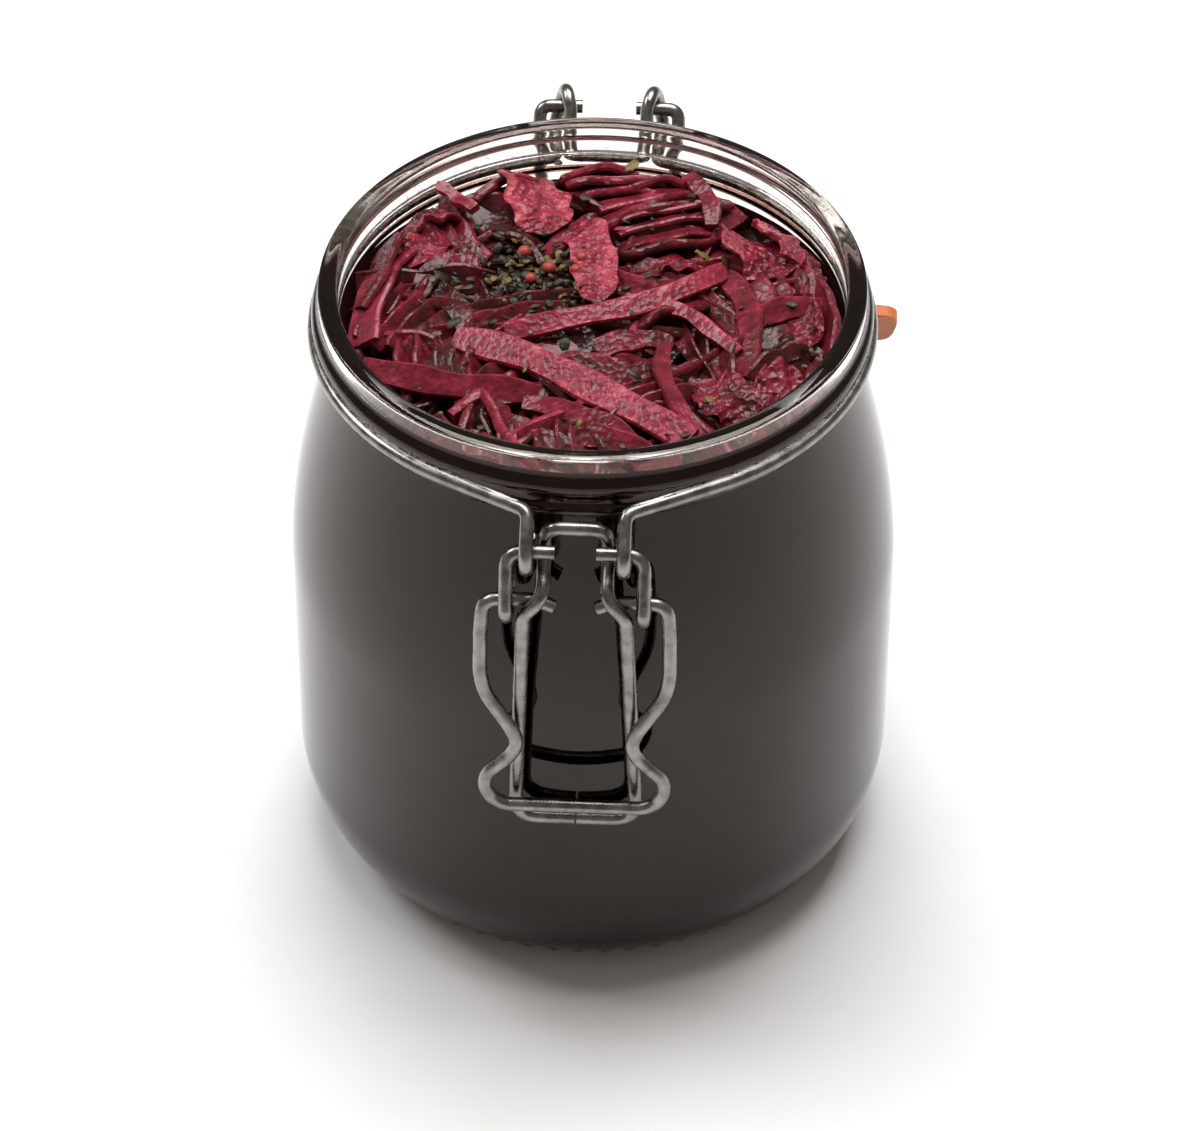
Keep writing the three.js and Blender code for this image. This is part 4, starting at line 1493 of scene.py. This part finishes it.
@dataclass(frozen=True)
class HerbScatter:
    """Crushed herb in one patch, strays over the heap, and a few berries."""

    room: HeapRoom
    patch: Pair = (-9.5, 10.0)
    spread: Pair = (7.5, 6.0)
    count: int = 380
    height: Pair = (107.8, 110.2)
    size: Pair = (0.25, 0.75)
    tone: Pair = (0.0, 0.8)
    stray_count: int = 90
    stray_reach: float = 38.0
    stray_height: Pair = (109.0, 111.0)
    stray_size: Pair = (0.25, 0.6)
    stray_tone: Pair = (0.1, 0.85)
    berry_count: int = 5
    berry_shift: Pair = (3.0, 2.0)
    berry_spread: float = 3.5
    berry_height: Pair = (109.4, 110.4)
    berry_size: Pair = (0.9, 1.3)
    berry_tone: float = 1.0
    berry_flat: float = 0.8
    berry_faces: tuple[int, int] = (8, 14)
    flake_faces: tuple[int, int] = (4, 7)
    flake_stretch: Pair = (1.1, 2.0)
    flake_swell: Pair = (0.65, 1.35)
    tilt: Pair = (-0.7, 0.7)

    def build(self, draw: random.Random) -> bpy.types.Object:
        """Scatter all the bits.

        Args:
            draw: the heap's random source.

        Returns:
            The bits as one piece.
        """
        mesh = PieceMesh()
        x, y = self.patch
        for _ in range(self.count):
            place = (draw.gauss(x, self.spread[0]), draw.gauss(y, self.spread[1]), draw.uniform(*self.height))
            self.add(draw, Bit(place, draw.uniform(*self.size), draw.uniform(*self.tone)), mesh)
        for _ in range(self.stray_count):
            turn = draw.uniform(0, 2 * math.pi)
            away = self.stray_reach * math.sqrt(draw.random())
            place = (away * math.cos(turn), away * math.sin(turn), draw.uniform(*self.stray_height))
            self.add(draw, Bit(place, draw.uniform(*self.stray_size), draw.uniform(*self.stray_tone)), mesh)
        for _ in range(self.berry_count):
            place = (draw.gauss(x + self.berry_shift[0], self.berry_spread),
                     draw.gauss(y + self.berry_shift[1], self.berry_spread),
                     draw.uniform(*self.berry_height))
            self.add(draw, Bit(place, draw.uniform(*self.berry_size), self.berry_tone, self.berry_flat), mesh)
        for sprig in SPRIGS:
            self.add(draw, sprig, mesh)
        return mesh.piece("herb_flakes")

    def add(self, draw: random.Random, bit: Bit, mesh: PieceMesh) -> None:
        """Add one bit: a rough ball, longer one way and flatter the other, or a round berry.

        Args:
            draw: the heap's random source.
            bit: its place, size and tone.
            mesh: the mesh it joins.
        """
        berry = bit.flat == self.berry_flat
        rings, sides = self.berry_faces if berry else self.flake_faces
        turn = draw.uniform(0, 2 * math.pi)
        stretch = 1.0 if berry else draw.uniform(*self.flake_stretch)
        tilt = draw.uniform(*self.tilt)
        places = [(0.0, 0.0, -1.0)]
        for i in range(1, rings):
            angle = math.pi * i / rings
            for j in range(sides):
                swell = 1.0 if berry else draw.uniform(*self.flake_swell)
                around = 2 * math.pi * j / sides
                places.append((math.sin(angle) * math.cos(around) * swell,
                               math.sin(angle) * math.sin(around) * swell, -math.cos(angle)))
        places.append((0.0, 0.0, 1.0))
        ball = np.array(places) * np.array([bit.size * stretch, bit.size, bit.size * bit.flat])
        ball = ball @ np.array(Matrix.Rotation(tilt, 3, "Y") @ Matrix.Rotation(turn, 3, "Z")) + bit.place
        last = len(ball) - 1
        faces: list[Face] = []
        for j in range(sides):
            k = (j + 1) % sides
            faces.append((0, 1 + k, 1 + j))
            faces.append((last, last - sides + j, last - sides + k))
            for i in range(rings - 2):
                a = 1 + i * sides
                faces.append((a + j, a + k, a + sides + k, a + sides + j))
        if self.room.holds(ball):
            mesh.add(ball, faces, np.full(len(ball), bit.tone))


@dataclass
class CabbageHeap:
    """Everything in the jar: dark juice to the brim of the heap, shreds, leaves, herbs and berries."""

    shape: JarShape
    cabbage: bpy.types.Material
    leaf: bpy.types.Material
    juice: bpy.types.Material
    herb: bpy.types.Material
    room: HeapRoom = HeapRoom()
    form: ShredForm = ShredForm()
    seed: int = 23
    core_steps: int = 128
    core_edge: float = 103.9
    core_crown: float = 105.4
    core_dip: float = 0.4
    film_top: float = 109.0
    film: float = 0.8
    film_tilt: float = 3.4
    overlap: float = 0.12
    # The lower a layer, the darker its tone: painted shade in the heap's depths.
    layers: tuple[FillLayer, ...] = (
        FillLayer(105.0, 90, 0.12), FillLayer(106.3, 80, 0.24), FillLayer(107.6, 60, 0.42))
    phases: Pair = (0.0, 6.3)
    bundle_phases: Pair = (0.0, 1.0)
    least_pull: float = 0.8
    pulls: int = 9

    def build(self) -> list[bpy.types.Object]:
        """Make the four pieces and dress them.

        Returns:
            The pieces.
        """
        draw = random.Random(self.seed)
        made = [(self.core(), self.juice), (self.shreds(draw), self.cabbage),
                (self.leaves(draw), self.leaf), (HerbScatter(self.room).build(draw), self.herb)]
        return [settle(piece, Body.JAR, finish, ["red_cabbage"]) for piece, finish in made]

    def core(self) -> bpy.types.Object:
        """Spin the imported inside, which reaches just into the glass so that no air shows.

        Returns:
            The core, with its film of juice on the wall, higher in front.
        """
        wall = self.shape.inner(-self.overlap, self.film_top)
        mouth = self.shape.mouth_radius
        crown = [(mouth - self.film, self.film_top - self.film), (mouth - 2 * self.film, self.core_edge),
                 (mouth / 2, self.core_crown - self.core_dip), (0.0, self.core_crown)]
        piece = spun("packed_cabbage", [*wall, *crown], self.core_steps)
        for vertex in piece.data.vertices:
            if vertex.co.z > (self.film_top - 2 * self.film) * MM:
                vertex.co.z -= self.film_tilt * vertex.co.y / mouth
        return piece

    def keep(self, strip: Strip, phase: float, mesh: PieceMesh) -> None:
        """Add a strip, drawn in towards the middle until it lies inside the mouth.

        Args:
            strip: the shred or leaf.
            phase: where its waves start, in radians.
            mesh: the mesh it joins.
        """
        for pull in np.linspace(1.0, self.least_pull, self.pulls):
            start = tuple(np.multiply(strip.start, pull))
            end = tuple(np.multiply(strip.end, pull))
            places, faces, tone = self.form.ribbon(replace(strip, start=start, end=end), phase)
            if self.room.holds(places):
                mesh.add(places, faces, tone)
                return

    def shreds(self, draw: random.Random) -> bpy.types.Object:
        """Lay the long shreds on top, over bundles and over layers drawn at random.

        Args:
            draw: the heap's random source.

        Returns:
            The shreds as one piece.
        """
        mesh = PieceMesh()
        for strip in LONG_STRIPS:
            self.keep(strip, draw.uniform(*self.phases), mesh)
        for bundle in BUNDLES:
            for strip in bundle.strips(draw):
                self.keep(strip, draw.uniform(*self.bundle_phases), mesh)
        for layer in self.layers:
            for i in range(layer.count):
                strip = layer.strip(draw, self.room.reach, i)
                self.keep(strip, draw.uniform(*self.phases), mesh)
        return mesh.piece("cabbage_shreds")

    def leaves(self, draw: random.Random) -> bpy.types.Object:
        """Lay the broad pieces of leaf, cupped and deeply wrinkled.

        Args:
            draw: the heap's random source.

        Returns:
            The leaves as one piece.
        """
        mesh = PieceMesh()
        for leaf in BROAD_LEAVES:
            self.keep(leaf, draw.uniform(*self.phases), mesh)
        return mesh.piece("cabbage_leaves")


@dataclass(frozen=True)
class SoftBox:
    """One square light behind a cloth: where it hangs and its size in metres, and its power in watts."""

    name: str
    place: tuple[float, float, float]
    size: Pair
    watts: float


@dataclass
class Studio:
    """White paper, soft lights and the camera, looking down on the clamp side of the jar."""

    paper: bpy.types.Material
    paper_size: float = 6000.0
    paper_drop: float = 0.02
    boxes: tuple[SoftBox, ...] = (
        SoftBox("key", (-0.7, 0.25, 0.8), (0.5, 0.4), 5.0),
        SoftBox("overhead", (0.08, 0.38, 1.2), (0.9, 0.9), 20.0))
    sky_colour: str = "#fff5ea"
    sky_strength: float = 0.24
    distance: float = 900.0
    elevation: float = math.radians(42.0)
    azimuth: float = math.radians(3.0)
    target_height: float = 52.9
    target_right: float = 1.24
    focal_pixels: float = 5135.0
    image_width: float = 1200.0
    sensor: float = 36.0

    def build(self) -> None:
        """Lay the paper, hang the lights and set the camera."""
        self.lay_paper()
        for box in self.boxes:
            self.hang(box)
        self.sky()
        self.camera()

    def lay_paper(self) -> None:
        """Lay a wide sheet of paper under the jar."""
        deselect()
        bpy.ops.mesh.primitive_plane_add(size=self.paper_size * MM, location=(0, 0, -self.paper_drop * MM))
        sheet = bpy.context.active_object
        sheet.name = "paper"
        sheet.data.materials.append(self.paper)

    def hang(self, box: SoftBox) -> None:
        """Hang one soft box that faces the jar.

        Args:
            box: its place, size and power.
        """
        bpy.ops.object.light_add(type="AREA", location=box.place)
        lamp = bpy.context.active_object
        lamp.name = box.name
        lamp.data.shape = "RECTANGLE"
        lamp.data.size, lamp.data.size_y = box.size
        lamp.data.energy = box.watts
        aim = Vector((0.0, 0.0, self.target_height * MM)) - Vector(box.place)
        lamp.rotation_euler = aim.to_track_quat("-Z", "Y").to_euler()

    def sky(self) -> None:
        """Give even, slightly warm light from all round."""
        world = bpy.data.worlds.new("white_room")
        world.use_nodes = True
        light = world.node_tree.nodes["Background"]
        light.inputs["Color"].default_value = linear(self.sky_colour)
        light.inputs["Strength"].default_value = self.sky_strength
        bpy.context.scene.world = world

    def camera(self) -> None:
        """Stand the camera where the photograph was taken from."""
        right = Vector((math.cos(self.azimuth), math.sin(self.azimuth), 0.0))
        away = Vector((math.sin(self.azimuth) * math.cos(self.elevation),
                       -math.cos(self.azimuth) * math.cos(self.elevation), math.sin(self.elevation)))
        target = right * self.target_right + Vector((0.0, 0.0, self.target_height))
        bpy.ops.object.camera_add(location=(target + away * self.distance) * MM)
        camera = bpy.context.active_object
        camera.rotation_euler = (-away).to_track_quat("-Z", "Y").to_euler()
        camera.data.sensor_fit = "HORIZONTAL"
        camera.data.sensor_width = self.sensor
        camera.data.lens = self.focal_pixels / self.image_width * self.sensor
        bpy.context.scene.camera = camera
        bpy.context.scene.view_settings.view_transform = "Standard"


def main() -> None:
    """Build every piece in order and report it."""
    logging.basicConfig(level=logging.INFO, format="%(message)s")
    shape = JarShape()
    gauge = WireGauge()
    upper = Pin(-51.8, 102.1, 3.4)
    lower = Pin(-53.2, 92.9, 3.6)
    hinge = Pin(56.0, 110.9, 4.7)
    ring_radius = shape.groove_radius + GAP + gauge.thickness / 2
    ring_height = shape.groove_height + shape.groove_width / 2
    steel = GalvanisedSteel().make()
    jar_glass = SodaLimeGlass(stain="#a8305f").make()
    lid_glass = SodaLimeGlass(name="pressed_lid_glass").make()
    leaf = WetCabbage(name="wet_cabbage_leaf", wrinkle=1.5, wrinkle_depth=0.9, wrinkle_strength=0.9).make()
    Studio(StudioPaper().make()).build()
    GlassJar(shape, jar_glass).build()
    CabbageHeap(shape, WetCabbage().make(), leaf, CabbageJuice().make(), DriedHerb().make()).build()
    NeckWire(gauge, steel, upper, hinge, ring_radius, ring_height).build()
    Clamp(gauge, steel, upper, lower).build()
    HangingLid(gauge, hinge, lid_glass, steel, NaturalRubber().make(), shape.lip_top).build()


if __name__ == "__main__":
    main()
